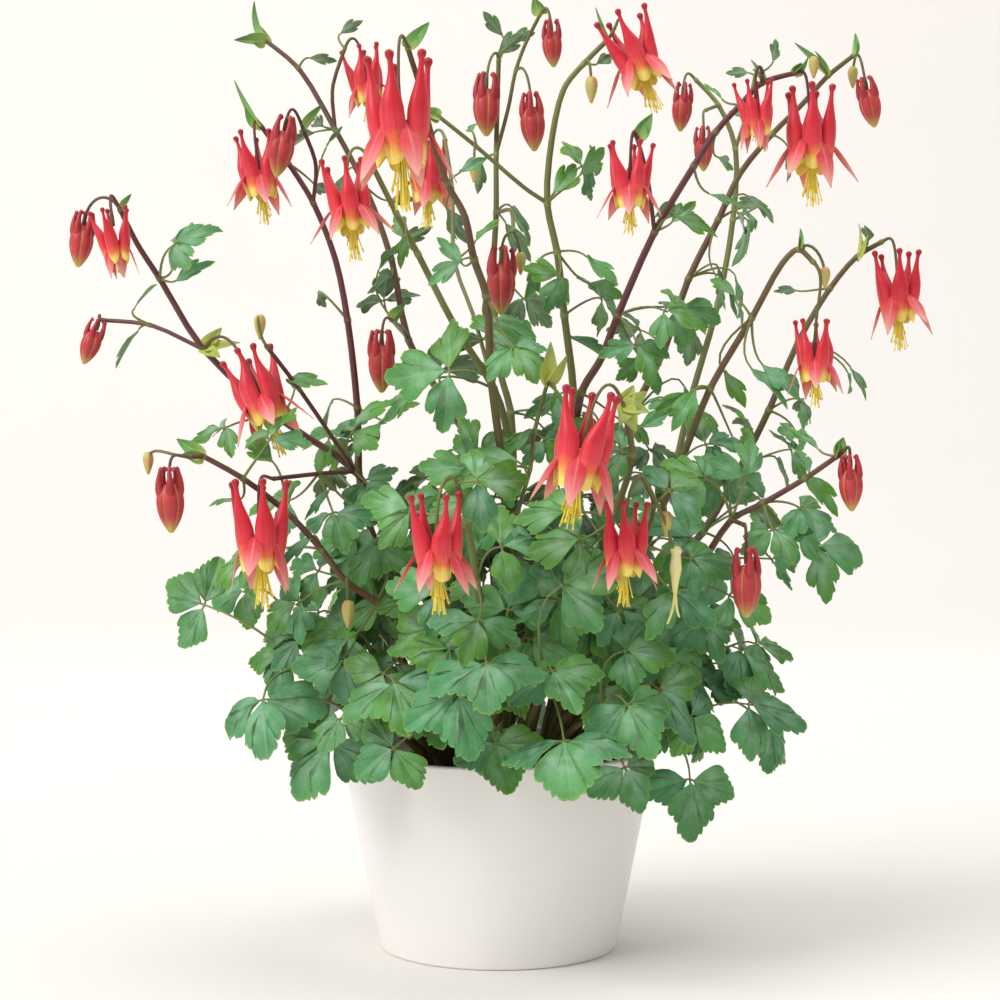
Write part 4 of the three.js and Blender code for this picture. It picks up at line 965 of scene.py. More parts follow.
def make_bud_look(look):
    """The lantern of a bud: red ridges, pale seams between them and a green-gold tip."""
    tree, shader = new_material("bud_skin", 0.45, Subsurface_Weight=0.1, Subsurface_Scale=0.002)
    across, along = surface_place(tree)
    ridge = calc(tree, "FRACT", calc(tree, "MULTIPLY", across, 5.0))
    from_ridge = calc(tree, "ABSOLUTE", calc(tree, "SUBTRACT", ridge, 0.5))
    seam = step_between(tree, from_ridge, 0.4, 0.5)
    colour = blend_colours(tree, calc(tree, "MULTIPLY", seam, 0.75), opaque(look.red), opaque(look.seam))
    mottle = mottled(tree, colour, opaque(look.shade), 0.5, 170.0)
    tip = step_between(tree, along, 0.08, 0.42, 0.9, 0.0)
    colour = blend_colours(tree, tip, mottle["Color"], opaque(look.tip))
    finish_surface(tree, shader, colour, calc(tree, "SUBTRACT", 0.0, seam), 0.0004, 0.5)


def make_bract_look(name, foot, body, point):
    """Paler at the foot than towards the tip, with a pale middle vein."""
    tree, shader = new_material(name, 0.48, Subsurface_Weight=0.1, Subsurface_Scale=0.002)
    across, along = surface_place(tree)
    place = object_place(tree)
    patches = cloud(tree, place, 160.0, 3.0)
    share = calc(tree, "ADD", along, drift_of(tree, patches, 0.5))
    colour = colour_ramp(tree, share, [(0.0, foot), (0.4, body), (0.9, point)])
    colour = blend_colours(tree, middle_rib(tree, across, 0.02, 0.1, 0.5), colour, opaque(foot))
    finish_surface(tree, shader, colour, patches, 0.0003, 0.3)


def make_plain_look(name, colour, second, roughness, scale, amount=0.5, glow=0.0):
    """A small part's finish: two near colours in soft patches, with a slight relief."""
    tree, shader = new_material(name, roughness, Subsurface_Weight=glow, Subsurface_Scale=0.002)
    mottle = mottled(tree, opaque(colour), opaque(second), amount, scale)
    finish_surface(tree, shader, mottle["Color"], mottle["Patches"], 0.0002, 0.3)


def make_backdrop_look(look):
    tree, shader = new_material("backdrop", 0.9)
    shade = tuple(value * 0.985 for value in look.backdrop)
    mottle = mottled(tree, opaque(look.backdrop), opaque(shade), 1.0, 3.0)
    place = object_place(tree)
    depth = add_node(tree, "ShaderNodeSeparateXYZ", {0: place}).outputs["Y"]
    near = step_between(tree, depth, 0.1, 1.3, 1.0, 0.0)
    finish_surface(tree, shader, mottle["Color"])
    # Painted light: the wall far behind glows with its own colour, the floor near the plant does not.
    glow = blend_colours(tree, near, opaque(look.backdrop), (0.0, 0.0, 0.0, 1.0))
    tree.links.new(glow, shader.inputs["Emission Color"])
    shader.inputs["Emission Strength"].default_value = look.glow


def make_looks():
    scene = bpy.context.scene
    leaf, bloom, bud = scene.columbine_leaf, scene.columbine_bloom, scene.columbine_bud
    make_mottle_effect()
    make_vein_effect()
    make_glaze(scene.columbine_pot)
    make_soil_look(scene.columbine_soil)
    make_stem_skin(scene.columbine_stem)
    make_leaf_look(leaf, "leaf_upper", leaf.glaucous, leaf.fresh, 0.5, 0.4)
    make_leaf_look(leaf, "leaf_under", leaf.under, leaf.under, 0.7, 0.3)
    make_petal_look(bloom)
    make_sepal_look(bloom)
    make_bud_look(bud)
    make_plain_look("bud_spur", bud.shade, bud.red, 0.42, 160.0, 0.6, 0.08)
    make_plain_look("filament", bloom.filament, paint(232, 216, 104), 0.5, 300.0, 0.5, 0.1)
    make_plain_look("anther", bloom.anther, paint(250, 214, 70), 0.7, 900.0, 0.8)
    make_bract_look("bract", paint(176, 196, 104), paint(108, 162, 74), paint(68, 128, 60))
    make_bract_look("pale_bract", paint(210, 212, 112), paint(190, 202, 100), paint(150, 176, 90))
    make_plain_look("spent_flower", paint(232, 228, 132), paint(240, 238, 190), 0.5, 150.0, 0.8, 0.15)
    make_plain_look("young_bud", paint(182, 188, 96), paint(222, 150, 112), 0.5, 260.0, 0.7, 0.08)
    make_backdrop_look(scene.columbine_stage)


# ---------------------------------------------------------------- shaping
def clear_selection():
    bpy.ops.object.select_all(action="DESELECT")


def add_sheet(name, across, along, place, material, tone=None):
    """A grid whose points are put where place(u, v) says, u across it and v along it, from 0 to 1."""
    clear_selection()
    bpy.ops.mesh.primitive_grid_add(x_subdivisions=across, y_subdivisions=along, size=1)
    sheet = bpy.context.object
    sheet.name = name
    spots = [(point.co.x + 0.5, point.co.y + 0.5) for point in sheet.data.vertices]
    if tone is not None:
        values = sheet.data.attributes.new("tone", "FLOAT", "POINT").data
        values.foreach_set("value", [tone(v) for u, v in spots])
    for point, (u, v) in zip(sheet.data.vertices, spots):
        point.co = place(u, v)
    sheet.data.materials.append(bpy.data.materials[material])
    return sheet


def close_seams(piece, outward_faces=True):
    clear_selection()
    piece.select_set(True)
    bpy.context.view_layer.objects.active = piece
    bpy.ops.object.mode_set(mode="EDIT")
    bpy.ops.mesh.select_all(action="SELECT")
    bpy.ops.mesh.remove_doubles(threshold=1e-7)
    if outward_faces:
        bpy.ops.mesh.normals_make_consistent(inside=False)
    bpy.ops.object.mode_set(mode="OBJECT")


def join_parts(parts, name):
    clear_selection()
    for part in parts:
        part.select_set(True)
    bpy.context.view_layer.objects.active = parts[0]
    if len(parts) > 1:
        bpy.ops.object.join()
    parts[0].name = parts[0].data.name = name
    return parts[0]


def finish_piece(parts, node):
    """The parts joined into one piece that stands in for one node of the plain model."""
    piece = join_parts(parts, node + "_fine")
    close_seams(piece)
    bpy.ops.object.shade_smooth_by_angle(angle=SMOOTH_ANGLE)
    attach(piece, BODY)
    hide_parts(node)


def apply_modifier(piece, kind, **settings):
    clear_selection()
    piece.select_set(True)
    bpy.context.view_layer.objects.active = piece
    modifier = piece.modifiers.new(kind.title(), kind)
    for name, value in settings.items():
        setattr(modifier, name, value)
    bpy.ops.object.modifier_apply(modifier=modifier.name)


def give_thickness(sheet, thickness, underside=None):
    """A sheet thickened downwards, with a material of its own below."""
    close_seams(sheet, outward_faces=False)
    if underside:
        sheet.data.materials.append(bpy.data.materials[underside])
    apply_modifier(
        sheet, "SOLIDIFY", thickness=thickness, offset=-1, material_offset=1 if underside else 0
    )
    bpy.ops.object.shade_smooth_by_angle(angle=SMOOTH_ANGLE)


def copy_of(template, matrix, tint=None, bend=None):
    """A copy with its own mesh, bent by moving its points and then set in place."""
    mesh = template.data.copy()
    if bend:
        for point in mesh.vertices:
            point.co = bend(point.co)
    mesh.transform(matrix)
    if tint is not None:
        values = mesh.attributes.new("tint", "FLOAT", "POINT").data
        values.foreach_set("value", [tint] * len(mesh.vertices))
    twin = bpy.data.objects.new(template.name, mesh)
    bpy.context.scene.collection.objects.link(twin)
    return twin


def discard(templates):
    for template in templates:
        bpy.data.objects.remove(template)


def rings_along(points):
    """At each point of a line: the point and two directions square to the line, turning no more than
    the line does."""
    normal = FIRST_NORMAL
    rings = []
    for i, point in enumerate(points):
        tangent = (points[min(i + 1, len(points) - 1)] - points[max(i - 1, 0)]).normalized()
        normal = (normal - tangent * normal.dot(tangent)).normalized()
        rings.append((point, normal, tangent.cross(normal)))
    return rings


def add_tube(name, points, radii, material, sides=8, tones=None):
    """A closed round tube through the points, each with its own radius and tone."""
    points = [points[0], *points, points[-1]]
    radii = [0.0, *radii, 0.0]
    tones = None if tones is None else [tones[0], *tones, tones[-1]]
    rings = rings_along(points)
    rings[0] = (points[0], *rings[1][1:])
    rings[-1] = (points[-1], *rings[-2][1:])
    last = len(points) - 1

    def place(u, v):
        ring = round(v * last)
        centre, normal, across = rings[ring]
        turn = 2 * math.pi * u
        return centre + (normal * math.cos(turn) + across * math.sin(turn)) * radii[ring]

    tone = None if tones is None else (lambda v: tones[round(v * last)])
    return add_sheet(name, sides, last, place, material, tone)


def cubic(start, first, second, end, steps):
    points = []
    for i in range(steps + 1):
        t = i / steps
        points.append(
            start * (1 - t) ** 3 + first * 3 * t * (1 - t) ** 2 + second * 3 * t * t * (1 - t) + end * t ** 3
        )
    return points


def mix(low, high, share):
    return low + (high - low) * share


def read_table(values, place):
    """The value at a place along a table, read smoothly between its rows."""
    last = len(values) - 1
    row = min(int(place), last - 1)
    t = place - row
    p0, p1, p2, p3 = (values[min(max(row + k, 0), last)] for k in (-1, 0, 1, 2))
    square = (2 * p0 - 5 * p1 + 4 * p2 - p3) * t * t
    cube = (3 * p1 - p0 - 3 * p2 + p3) * t ** 3
    return 0.5 * (2 * p1 + (p2 - p0) * t + square + cube)


# ---------------------------------------------------------------- where everything stands
def seen(x, z, y):
    """A point at depth y that the eye sees at x, z of the front elevation; millimetres to metres."""
    scale = 1 + y * MM / SIGHT_DISTANCE
    return Vector((x * MM * scale, y * MM, SIGHT_HEIGHT + (z * MM - SIGHT_HEIGHT) * scale))


def scatter(seed):
    """A repeatable draw between -1 and 1, from the far digits of a sine."""
    value = math.sin(seed * 12.9898) * 43758.5453
    return (value - math.floor(value)) * 2 - 1


def around(radius, turn, height=0):
    return Vector((radius * math.cos(turn), radius * math.sin(turn), height))


def outward(point):
    out = Vector((point.x, point.y, 0))
    return Vector((0, -1, 0)) if out.length < NEAR_AXIS else out.normalized()


def outward_reach(point):
    return math.hypot(point.x, point.y)


def basis(origin, x_axis, y_axis, z_axis):
    return Matrix.Translation(origin) @ Matrix((x_axis, y_axis, z_axis)).transposed().to_4x4()


def square_to(direction, normal):
    return (direction - normal * direction.dot(normal)).normalized()


def trace(start, points, depth):
    """Points of a line, its depth shared out along its length from the start to the tip."""
    flat = [Vector((start.x, start.z)), *(Vector((x, z)) * MM for x, z in points)]
    run = [0.0]
    for before, after in zip(flat, flat[1:]):
        run.append(run[-1] + (after - before).length)
    return [
        seen(x, z, mix(start.y / MM, depth, run[i + 1] / run[-1])) for i, (x, z) in enumerate(points)
    ]


def foot_points(x, y):
    return [Vector((x, y, SOIL_LEVEL - SOCKET_DEPTH + GAP)), Vector((x, y, SOIL_LEVEL))]


class StemPlan:
    """The lines of one stem and where the things that it bears stand."""

    def __init__(self, stem):
        foot_x, foot_y = stem["crown"]
        self.stem = stem
        self.foot = foot_points(foot_x * MM, foot_y * MM)
        self.lines = [trace(self.foot[1], stem["line"], stem["depth"])]
        for start, depth, points in self.grows("branches"):
            first = self.lines[0][start]
            self.lines.append([first, *trace(first, points, depth)])

    def grows(self, kind):
        return self.stem.get(kind, [])

    def bearer(self, item):
        return self.lines[item[0]][item[1]]

    def place(self, item):
        return seen(item[2], item[3], self.bearer(item).y / MM + item[4])

    def heading(self, item, target):
        """A stalk at a line's tip carries it on; one lower down leaves it sideways and upwards."""
        points = self.lines[item[0]]
        start = points[item[1]]
        if item[1] == len(points) - 1:
            return (start - points[item[1] - 1]).normalized()
        level = Vector((target.x - start.x, target.y - start.y, 0)).normalized()
        return (level + UP).normalized()

    def flower_frame(self, item):
        """Up the flower's axis, turned so that its stalk arrives between two spurs."""
        centre, axis = self.place(item), hanging_axis(item[6], item[7])
        side = self.bearer(item) - centre
        side -= axis * side.dot(axis)
        side = side.normalized() if side.length > 0.0005 else Vector((1, 0, 0))
        return basis(centre, side, axis.cross(side), axis)

    def stalk(self, item, centre, axis, seat, rise, steps):
        start = self.bearer(item)
        over = centre + axis * rise
        reach = 0.45 * (over - start).length + 0.002
        first = start + self.heading(item, centre) * reach
        return cubic(start, first, over, centre + axis * (seat + GAP), steps)


def flower_plans(kind):
    """Each bloom or bud in order: its name, its stem's plan and its row of the list."""
    plans = []
    for stem in STEMS:
        plan = StemPlan(stem)
        for item in plan.grows(kind + "s"):
            plans.append((f"{kind}_{len(plans) + 1:02d}", plan, item))
    return plans


def hanging_axis(lean, nod):
    return Vector((-math.sin(math.radians(lean)), math.sin(math.radians(nod)), 1)).normalized()


def facing(point):
    """A leaf looks away from the pot's axis, and the nearer the front it stands the more to the light."""
    front = min(1.0, max(0.0, (FRONT_START - point.y) / FRONT_DEPTH))
    return (outward(point) + Vector((0, -1, 0)) * FRONT_TURN * front).normalized()


def leaf_frame(centre, start, hang, spin):
    """A leaf looks out and up, and its middle leaflet follows its stalk, drawn outwards and hanging."""
    sway = Vector((scatter(spin * 91 + 1), scatter(spin * 57 + 2), scatter(spin * 33 + 3))) * LEAF_SWAY
    normal = (facing(centre) * LEAF_OUT + UP * LEAF_UP + sway).normalized()
    along = (centre - start).normalized() + outward(centre) * LEAF_DRAW - UP * hang
    along = Matrix.Rotation(spin, 3, normal) @ square_to(along, normal)
    return basis(centre, along, normal.cross(along), normal)


# ---------------------------------------------------------------- leaves
# A leaflet's length as a share of the plain model's, half its outline from its foot to its tip as
# [along, across], and the points of that outline which lie in a notch or a cleft.
LEAFLETS = {
    "broad": {
        "full": 1.17,
        "outline": [
            [0.0, 0.01], [0.07, 0.1], [0.17, 0.23], [0.29, 0.345], [0.41, 0.42], [0.52, 0.45], [0.61, 0.435],
            [0.655, 0.385], [0.63, 0.325], [0.7, 0.335], [0.765, 0.3], [0.775, 0.235], [0.7, 0.18],
            [0.52, 0.13], [0.68, 0.185], [0.79, 0.235], [0.875, 0.22], [0.875, 0.155], [0.95, 0.125],
            [0.99, 0.06], [1.0, 0.0],
        ],
        "notches": [8, 13, 17],
    },
    "narrow": {
        "full": 1.2,
        "outline": [
            [0.0, 0.01], [0.08, 0.08], [0.19, 0.175], [0.31, 0.27], [0.43, 0.34], [0.55, 0.365],
            [0.65, 0.33], [0.655, 0.27], [0.705, 0.235], [0.66, 0.18], [0.49, 0.115], [0.67, 0.17],
            [0.8, 0.185], [0.83, 0.125], [0.93, 0.1], [1.0, 0.0],
        ],
        "notches": [7, 10, 13],
    },
    "simple": {
        "full": 1.5,
        "outline": [
            [0.0, 0.01], [0.12, 0.07], [0.26, 0.15], [0.42, 0.215], [0.56, 0.235], [0.68, 0.205],
            [0.66, 0.14], [0.58, 0.1], [0.72, 0.125], [0.86, 0.085], [1.0, 0.0],
        ],
        "notches": [7],
    },
}
LEAFLET_RINGS = 3
VARIANTS = 6


def leaflet_outline(form, variant):
    """A leaflet's whole outline and the same with its notches and clefts filled in, side lobes and
    clefts a little different on each side."""
    draw = random.Random(f"{len(form['outline'])} points {variant}")
    last = len(form["outline"]) - 1
    cleft = min(form["notches"][1:] or form["notches"], key=lambda row: form["outline"][row][0])
    skew = draw.uniform(-0.05, 0.05)
    cut, whole = [], []
    for side in (-1, 1):
        lobe, depth = draw.uniform(0.92, 1.06), draw.uniform(0.6, 1.2)
        half = []
        for row, (along, across) in enumerate(form["outline"]):
            grow = lobe if row < cleft else 1.0
            wobble = 1 + draw.uniform(-0.02, 0.02) * (0 < row < last)
            aside = (across * grow + skew * along ** 3 * side) * side
            half.append(Vector((along * grow * wobble, aside)))
        filled = [point.copy() for point in half]
        for row in form["notches"]:
            filled[row] = (half[row - 1] + half[row + 1]) / 2
            half[row] = filled[row].lerp(half[row], depth)
        cut.append(half)
        whole.append(filled)
    return [[*halves[1], *reversed(halves[0][:-1])] for halves in (cut, whole)]


def make_leaflet(kind, variant):
    """One leaflet of unit length along +X, its upper side up."""
    form = LEAFLETS[kind]
    cut, whole = leaflet_outline(form, variant)
    last = len(cut) - 1
    flat = []

    def place(u, v):
        row = round(u * last)
        spot = whole[row].lerp(cut[row], max(0.0, 2 * v - 1) ** 1.3) * v
        x, y = spot
        flat.append((y, x))
        ridge = 0.03 * math.exp(-(y / 0.05) ** 2) * min(1.0, 3 * x)
        wave = noise.noise(Vector((x * 2.2, y * 2.6, 7.3 * variant + last)))
        ripple = 0.03 * v * v * noise.noise(Vector((x * 9, y * 9, variant)))
        cup = 0.25 * abs(y) - ridge + 0.16 * wave * v + ripple
        return Vector((x, y, cup - LEAFLET_BEND * x * x - 0.9 * y * y))

    look = bpy.context.scene.columbine_leaf
    leaflet = add_sheet(f"{kind}_{variant}", last, LEAFLET_RINGS, place, "leaf_upper")
    rims = [max(v, float(u in (0, 1))) for v in range_of(LEAFLET_RINGS) for u in range_of(last)]
    leaflet.data.attributes.new("rim", "FLOAT", "POINT").data.foreach_set("value", rims)
    corners = leaflet.data.uv_layers["UVMap"].data
    for loop, corner in zip(leaflet.data.loops, corners):
        corner.uv = flat[loop.vertex_index]
    give_thickness(leaflet, look.thickness, "leaf_under")
    return leaflet


def range_of(steps):
    """From 0 to 1 in even steps."""
    return [step / steps for step in range(steps + 1)]


def make_leaflets(kinds):
    return {kind: [make_leaflet(kind, variant) for variant in range(VARIANTS)] for kind in kinds}


def leaf_parts(leaflets, kind, start, centre, size, hang, seed, tint, stalk_tone):
    """One leaf: its stalk, and three leaflets on a hub or one alone."""
    draw = random.Random(f"leaf {seed:.3f}")
    frame = leaf_frame(centre, start, hang, LEAF_SPIN * scatter(seed))
    full = size * MM * LEAFLETS[kind]["full"] * bpy.context.scene.columbine_leaf.fullness
    grown = draw.uniform(*LEAF_GROWTH)
    along = frame.col[0].to_3d()
    if kind == "simple":
        centre = centre - along * SIMPLE_SETBACK * full
        frame.translation = centre
    reach = (centre - start).length
    bow = centre - along * STALK_BOW * reach
    line = cubic(start, start.lerp(bow, 0.5) + UP * STALK_RISE * reach, bow, centre, STALK_STEPS)
    radii = [mix(*LEAF_STALK_RADII, step) for step in range_of(STALK_STEPS)]
    parts = [add_tube("leaf_stalk", line, radii, "stem_skin", 6, [stalk_tone] * len(line))]
    turns = [0.0] if kind == "simple" else [0.0, LEAFLET_ANGLE, -LEAFLET_ANGLE]
    for turn in turns:
        middle = turn == 0
        length = full * grown * draw.uniform(*LEAFLET_GROWTH) * (1.0 if middle else SIDE_LEAFLET)
        lift, away = (HUB_LIFT if middle else 0.0, HUB_GAP) if len(turns) > 1 else (0.0, SIMPLE_GAP)
        pitch = draw.uniform(*(MIDDLE_PITCH if middle else SIDE_PITCH))
        matrix = (
            frame @ Matrix.Rotation(turn + draw.uniform(-LEAFLET_YAW, LEAFLET_YAW), 4, "Z")
            @ Matrix.Translation((away * full, 0, lift * full)) @ Matrix.Rotation(pitch, 4, "Y")
            @ Matrix.Rotation(draw.uniform(-LEAFLET_ROLL, LEAFLET_ROLL), 4, "X") @ Matrix.Scale(length, 4)
        )
        shade = min(2.0, max(0.0, tint + draw.uniform(*TINT_SPREAD)))
        parts.append(copy_of(draw.choice(leaflets[kind]), matrix, shade))
        if len(turns) > 1:
            direction = Matrix.Rotation(turn, 3, frame.col[2].to_3d()) @ along
            line = [centre, centre + direction * LEAFLET_FOOT * full]
            tones = [stalk_tone] * 2
            parts.append(add_tube("leaflet_stalk", line, LEAFLET_STALK_RADII, "stem_skin", 5, tones))
    return parts


def make_bract(length, half_width, curl, material):
    """A pointed blade along +X, widest a third of the way, folded along its middle, its tip curling."""

    def place(u, v):
        half = half_width * (math.sin(math.pi * min(1.0, 0.1 + 0.9 * v) ** 0.62) ** 0.9 + 0.03)
        y = half * (1 - 2 * u)
        return Vector((length * v, y, 0.5 * abs(y) + length * (curl * v ** 3 - 0.08 * v)))

    blade = add_sheet("bract", *BRACT_GRID, place, material)
    give_thickness(blade, BRACT_THICKNESS)
    return blade


def bract_parts(plan, item):
    """A fan of pointed bracts, the middle one the longest."""
    start, tip = plan.bearer(item), plan.place(item)
    draw = random.Random(f"bract {item[2]} {item[3]}")
    pale = item[5] > PALE_WIDTH
    length, half = (tip - start).length, item[5] * MM * (PALE_HALF if pale else BRACT_HALF)
    along = (tip - start).normalized()
    normal = square_to(outward(tip) + UP * 0.3, along)
    blades = []
    look = "pale_bract" if pale else "bract"
    for turn, share in PALE_FAN if pale else BRACT_FAN:
        blade = make_bract(length * share, half, draw.uniform(*BRACT_CURL), look)
        blade.data.transform(
            basis(start, along, normal.cross(along), normal)
            @ Matrix.Rotation(turn + draw.uniform(-BRACT_JITTER, BRACT_JITTER), 4, "Z")
            @ Matrix.Rotation(BRACT_LIFT * abs(turn) + draw.uniform(-BRACT_JITTER, BRACT_JITTER), 4, "Y")
            @ Matrix.Rotation(draw.uniform(-BRACT_ROLL, BRACT_ROLL), 4, "X")
        )
        blades.append(blade)
    return blades


# ---------------------------------------------------------------- stems
def span_cuts(length):
    """Where a stretch between two points of a stem is cut, as shares of it: close to both its joints."""
    near = min(0.2, JOINT_LENGTH / length)
    return [0.0] if length < SHORT_SPAN else [0.0, near, 0.33, 0.67, 1 - near]


def centripetal(points):
    """A smooth line through the points, as (place, point): a whole place is one of the points given."""
    before = points[0] * 2 - points[1]
    after = points[-1] * 2 - points[-2]
    padded = [before, *points, after]
    line = []
    for i in range(len(points) - 1):
        p0, p1, p2, p3 = padded[i:i + 4]
        d0, d1, d2 = (max((b - a).length, 1e-6) ** 0.5 for a, b in ((p0, p1), (p1, p2), (p2, p3)))
        t1 = ((p1 - p0) / d0 - (p2 - p0) / (d0 + d1) + (p2 - p1) / d1) * d1
        t2 = ((p2 - p1) / d1 - (p3 - p1) / (d1 + d2) + (p3 - p2) / d2) * d1
        for t in span_cuts((p2 - p1).length):
            line.append((i + t, p1 + t1 * t + (p2 * 3 - p1 * 3 - t1 * 2 - t2) * t * t
                         + (p1 * 2 - p2 * 2 + t1 + t2) * t ** 3))
    line.append((len(points) - 1, points[-1]))
    return line


def stem_tube(name, points, foot_radius, tip_radius, nodes, tone, sides):
    """A stem or branch with a slightly swollen, paler joint at each point that bears something."""
    end = points[-1] + (points[-1] - points[-2]).normalized() * TIP_ROOT
    points = [*points, end]
    line = centripetal(points)
    radii, tones = [], []
    for place, _ in line:
        share = place / (len(points) - 1)
        at_node = abs(place - round(place)) < 1e-6 and round(place) in nodes
        radii.append(mix(foot_radius, tip_radius, share) * (JOINT_SWELL if at_node else 1.0))
        tones.append(tone(share) + (JOINT_TONE if at_node else 0.0))
    return add_tube(name, [point for _, point in line], radii, "stem_skin", sides, tones)


def pedicel_parts(plan, kind, flower, seat, rise, tone):
    """The stalks that the stem's flowers of one kind hang from, each a little wider where it meets one."""
    stalks = []
    for item in plan.grows(kind):
        length = item[5] * MM
        axis = hanging_axis(item[6], item[7])
        line = plan.stalk(item, plan.place(item), axis, seat * length / flower, rise * length, PEDICEL_STEPS)
        radii = [mix(PEDICEL_FOOT, PEDICEL_NECK, min(1.0, i / 5)) for i in range(len(line))]
        radii[-1] = radii[-2] = PEDICEL_SEAT
        tones = [tone(0.9) + 0.12 * (1 - step) for step in range_of(PEDICEL_STEPS)]
        stalks.append(add_tube("pedicel", line, radii, "stem_skin", 8, tones))
    return stalks


def stem_parts(plan, leaflets):
    stem, look = plan.stem, bpy.context.scene.columbine_stem
    bearing = [item[:2] for kind in BORNE for item in plan.grows(kind)]
    bearing += [[0, branch[0]] for branch in plan.grows("branches")]

    def tone(share):
        return FOOT_TONE - FLUSH_DEPTH * stem["flush"] * min(1.0, FLUSH_START + share * FLUSH_CLIMB)

    def joints(line, before=0):
        return {point + before for bearer, point in bearing if bearer == line}

    foot_radius, tip_radius = stem["radius"] * MM * look.fullness, STEM_TIP * MAIN_TIP * look.fullness
    main = [*plan.foot, *plan.lines[0]]
    parts = [stem_tube("main", main, foot_radius, tip_radius, joints(0, len(plan.foot)), tone, look.sides)]
    for i, line in enumerate(plan.lines[1:], 1):
        parts.append(stem_tube(
            "branch", line, BRANCH_RADIUS * BRANCH_FULLNESS, STEM_TIP * BRANCH_TIP, joints(i),
            lambda share: tone(BRANCH_AGE), BRANCH_SIDES,
        ))
    for kind in ("leaves", "extra"):
        for i, item in enumerate(plan.grows(kind)):
            start, centre = plan.bearer(item), plan.place(item)
            height = (centre.z - LEAFY_START) / LEAFY_HEIGHT
            shape = "narrow" if item[5] > SIMPLE_SIZE else "simple"
            parts += leaf_parts(
                leaflets, shape, start, centre, item[5], STEM_LEAF_HANG, i + item[2], 0.25 + 0.5 * height,
                STEM_LEAF_TONE,
            )
    for item in plan.grows("bracts"):
        parts += bract_parts(plan, item)
    for item in plan.grows("young"):
        parts += young_bud_parts(plan, item)
    parts += pedicel_parts(plan, "blooms", BLOOM_LENGTH, BLOOM_SEAT, BLOOM_RISE, tone)
    parts += pedicel_parts(plan, "buds", BUD_LENGTH, BUD_SEAT, BUD_RISE, tone)
    return parts


def young_bud_parts(plan, item):
    """A green young bud with five ribs on its own stalk."""
    length = item[5] * MM
    centre, start = plan.place(item), plan.bearer(item)
    upright = centre.z > start.z + length
    axis = UP * (-1 if upright else 1)
    line = plan.stalk(item, centre, axis, -0.1 * length, length, YOUNG_STALK_STEPS)
    radii, tones = [YOUNG_STALK_RADIUS] * len(line), [YOUNG_STALK_TONE] * len(line)
    stalk = add_tube("young_stalk", line, radii, "stem_skin", 6, tones)
    if item[5] >= SPENT_SIZE:
        return [stalk, *spent_parts(centre, length)]
    last = len(YOUNG_BUD_PROFILE) - 1

    def place(u, v):
        height, width = YOUNG_BUD_PROFILE[round(v * last)]
        turn = 2 * math.pi * u
        radius = width * length * (0.86 + 0.14 * abs(math.cos(2.5 * turn)))
        return centre + around(radius, turn) + axis * height * length

    return [stalk, add_sheet("young_bud", 20, last, place, "young_bud")]


def spent_parts(centre, length):
    """What a flower leaves behind: a pale swollen cup with two long styles hanging out of it."""
    points = [centre + Vector((SPENT_LEAN * length * height, 0, height * length)) for height, _ in SPENT_CUP]
    parts = [add_tube("cup", points, [radius * length for _, radius in SPENT_CUP], "spent_flower", 12)]
    top = points[-2]
    for side, reach in SPENT_STYLES:
        bow = top + Vector((side * 0.1, 0, -0.9)) * length
        end = top + Vector((side, -0.1, -reach)) * length
        line = cubic(top, top - UP * 0.4 * length, bow, end, SPENT_STYLE_STEPS)
        radii = [mix(*SPENT_STYLE_RADII, step) for step in range_of(SPENT_STYLE_STEPS)]
        parts.append(add_tube("old_style", line, radii, "spent_flower", 6))
    return parts


# ---------------------------------------------------------------- low leaves
def inner_leaves(draw, count):
    """Leaves that fill the plant's heart, as (centre, leaflet length), a low dome of them."""
    leaves = []
    for k in range(count):
        azimuth = k * GOLDEN_ANGLE
        reach = DOME_START + DOME_REACH * math.sqrt((k + 0.5) / count)
        height = DOME_FOOT + DOME_RISE * (1 - (reach / DOME_EDGE) ** 2) + draw.uniform(*DOME_JITTER)
        leaves.append((around(reach, azimuth, height), draw.uniform(*INNER_SIZES)))
    return leaves


def low_leaf_groups():
    """Each low leaf's name, its groups of leaflets as (centre, leaflet length in millimetres), and the
    way it grows from the pot's axis."""
    groups = {}
    for leaf in LOW_LEAVES:
        main, extra = (
            [(seen(x, z, y), size) for x, z, y, size in leaf[kind]] for kind in ("units", "extra")
        )
        groups[leaf["name"]] = [main, *([unit] for unit in extra)]
    for name, azimuth in zip(BACK_LEAVES["names"], BACK_LEAVES["azimuths"]):
        tiers = []
        for tier in BACK_LEAVES["tiers"]:
            units = []
            for side in (-1, 0, 1):
                angle = math.radians(azimuth + tier["turn"] + side * tier["spread"])
                reach = (tier["reach"] - abs(side) * BACK_LEAVES["draw"]) * MM
                height = (tier["height"] + side * tier["climb"]) * MM
                units.append((around(reach, angle, height), tier["leaflet"]))
            tiers.append(units)
        groups[name] = tiers
    headings = {name: outward(middle_of(sum(leaves, []))) for name, leaves in groups.items()}
    look = bpy.context.scene.columbine_leaf
    for unit in inner_leaves(random.Random("inner leaves"), look.inner):
        nearest = max(headings, key=lambda name: headings[name].dot(outward(unit[0])))
        groups[nearest].append([unit])
    return [(name, leaves, headings[name]) for name, leaves in groups.items()]


def middle_of(units):
    return sum((centre for centre, _ in units), Vector()) / len(units)


def petiole_tone(share):
    foot, gain = PETIOLE_TONES
    return foot + gain * share


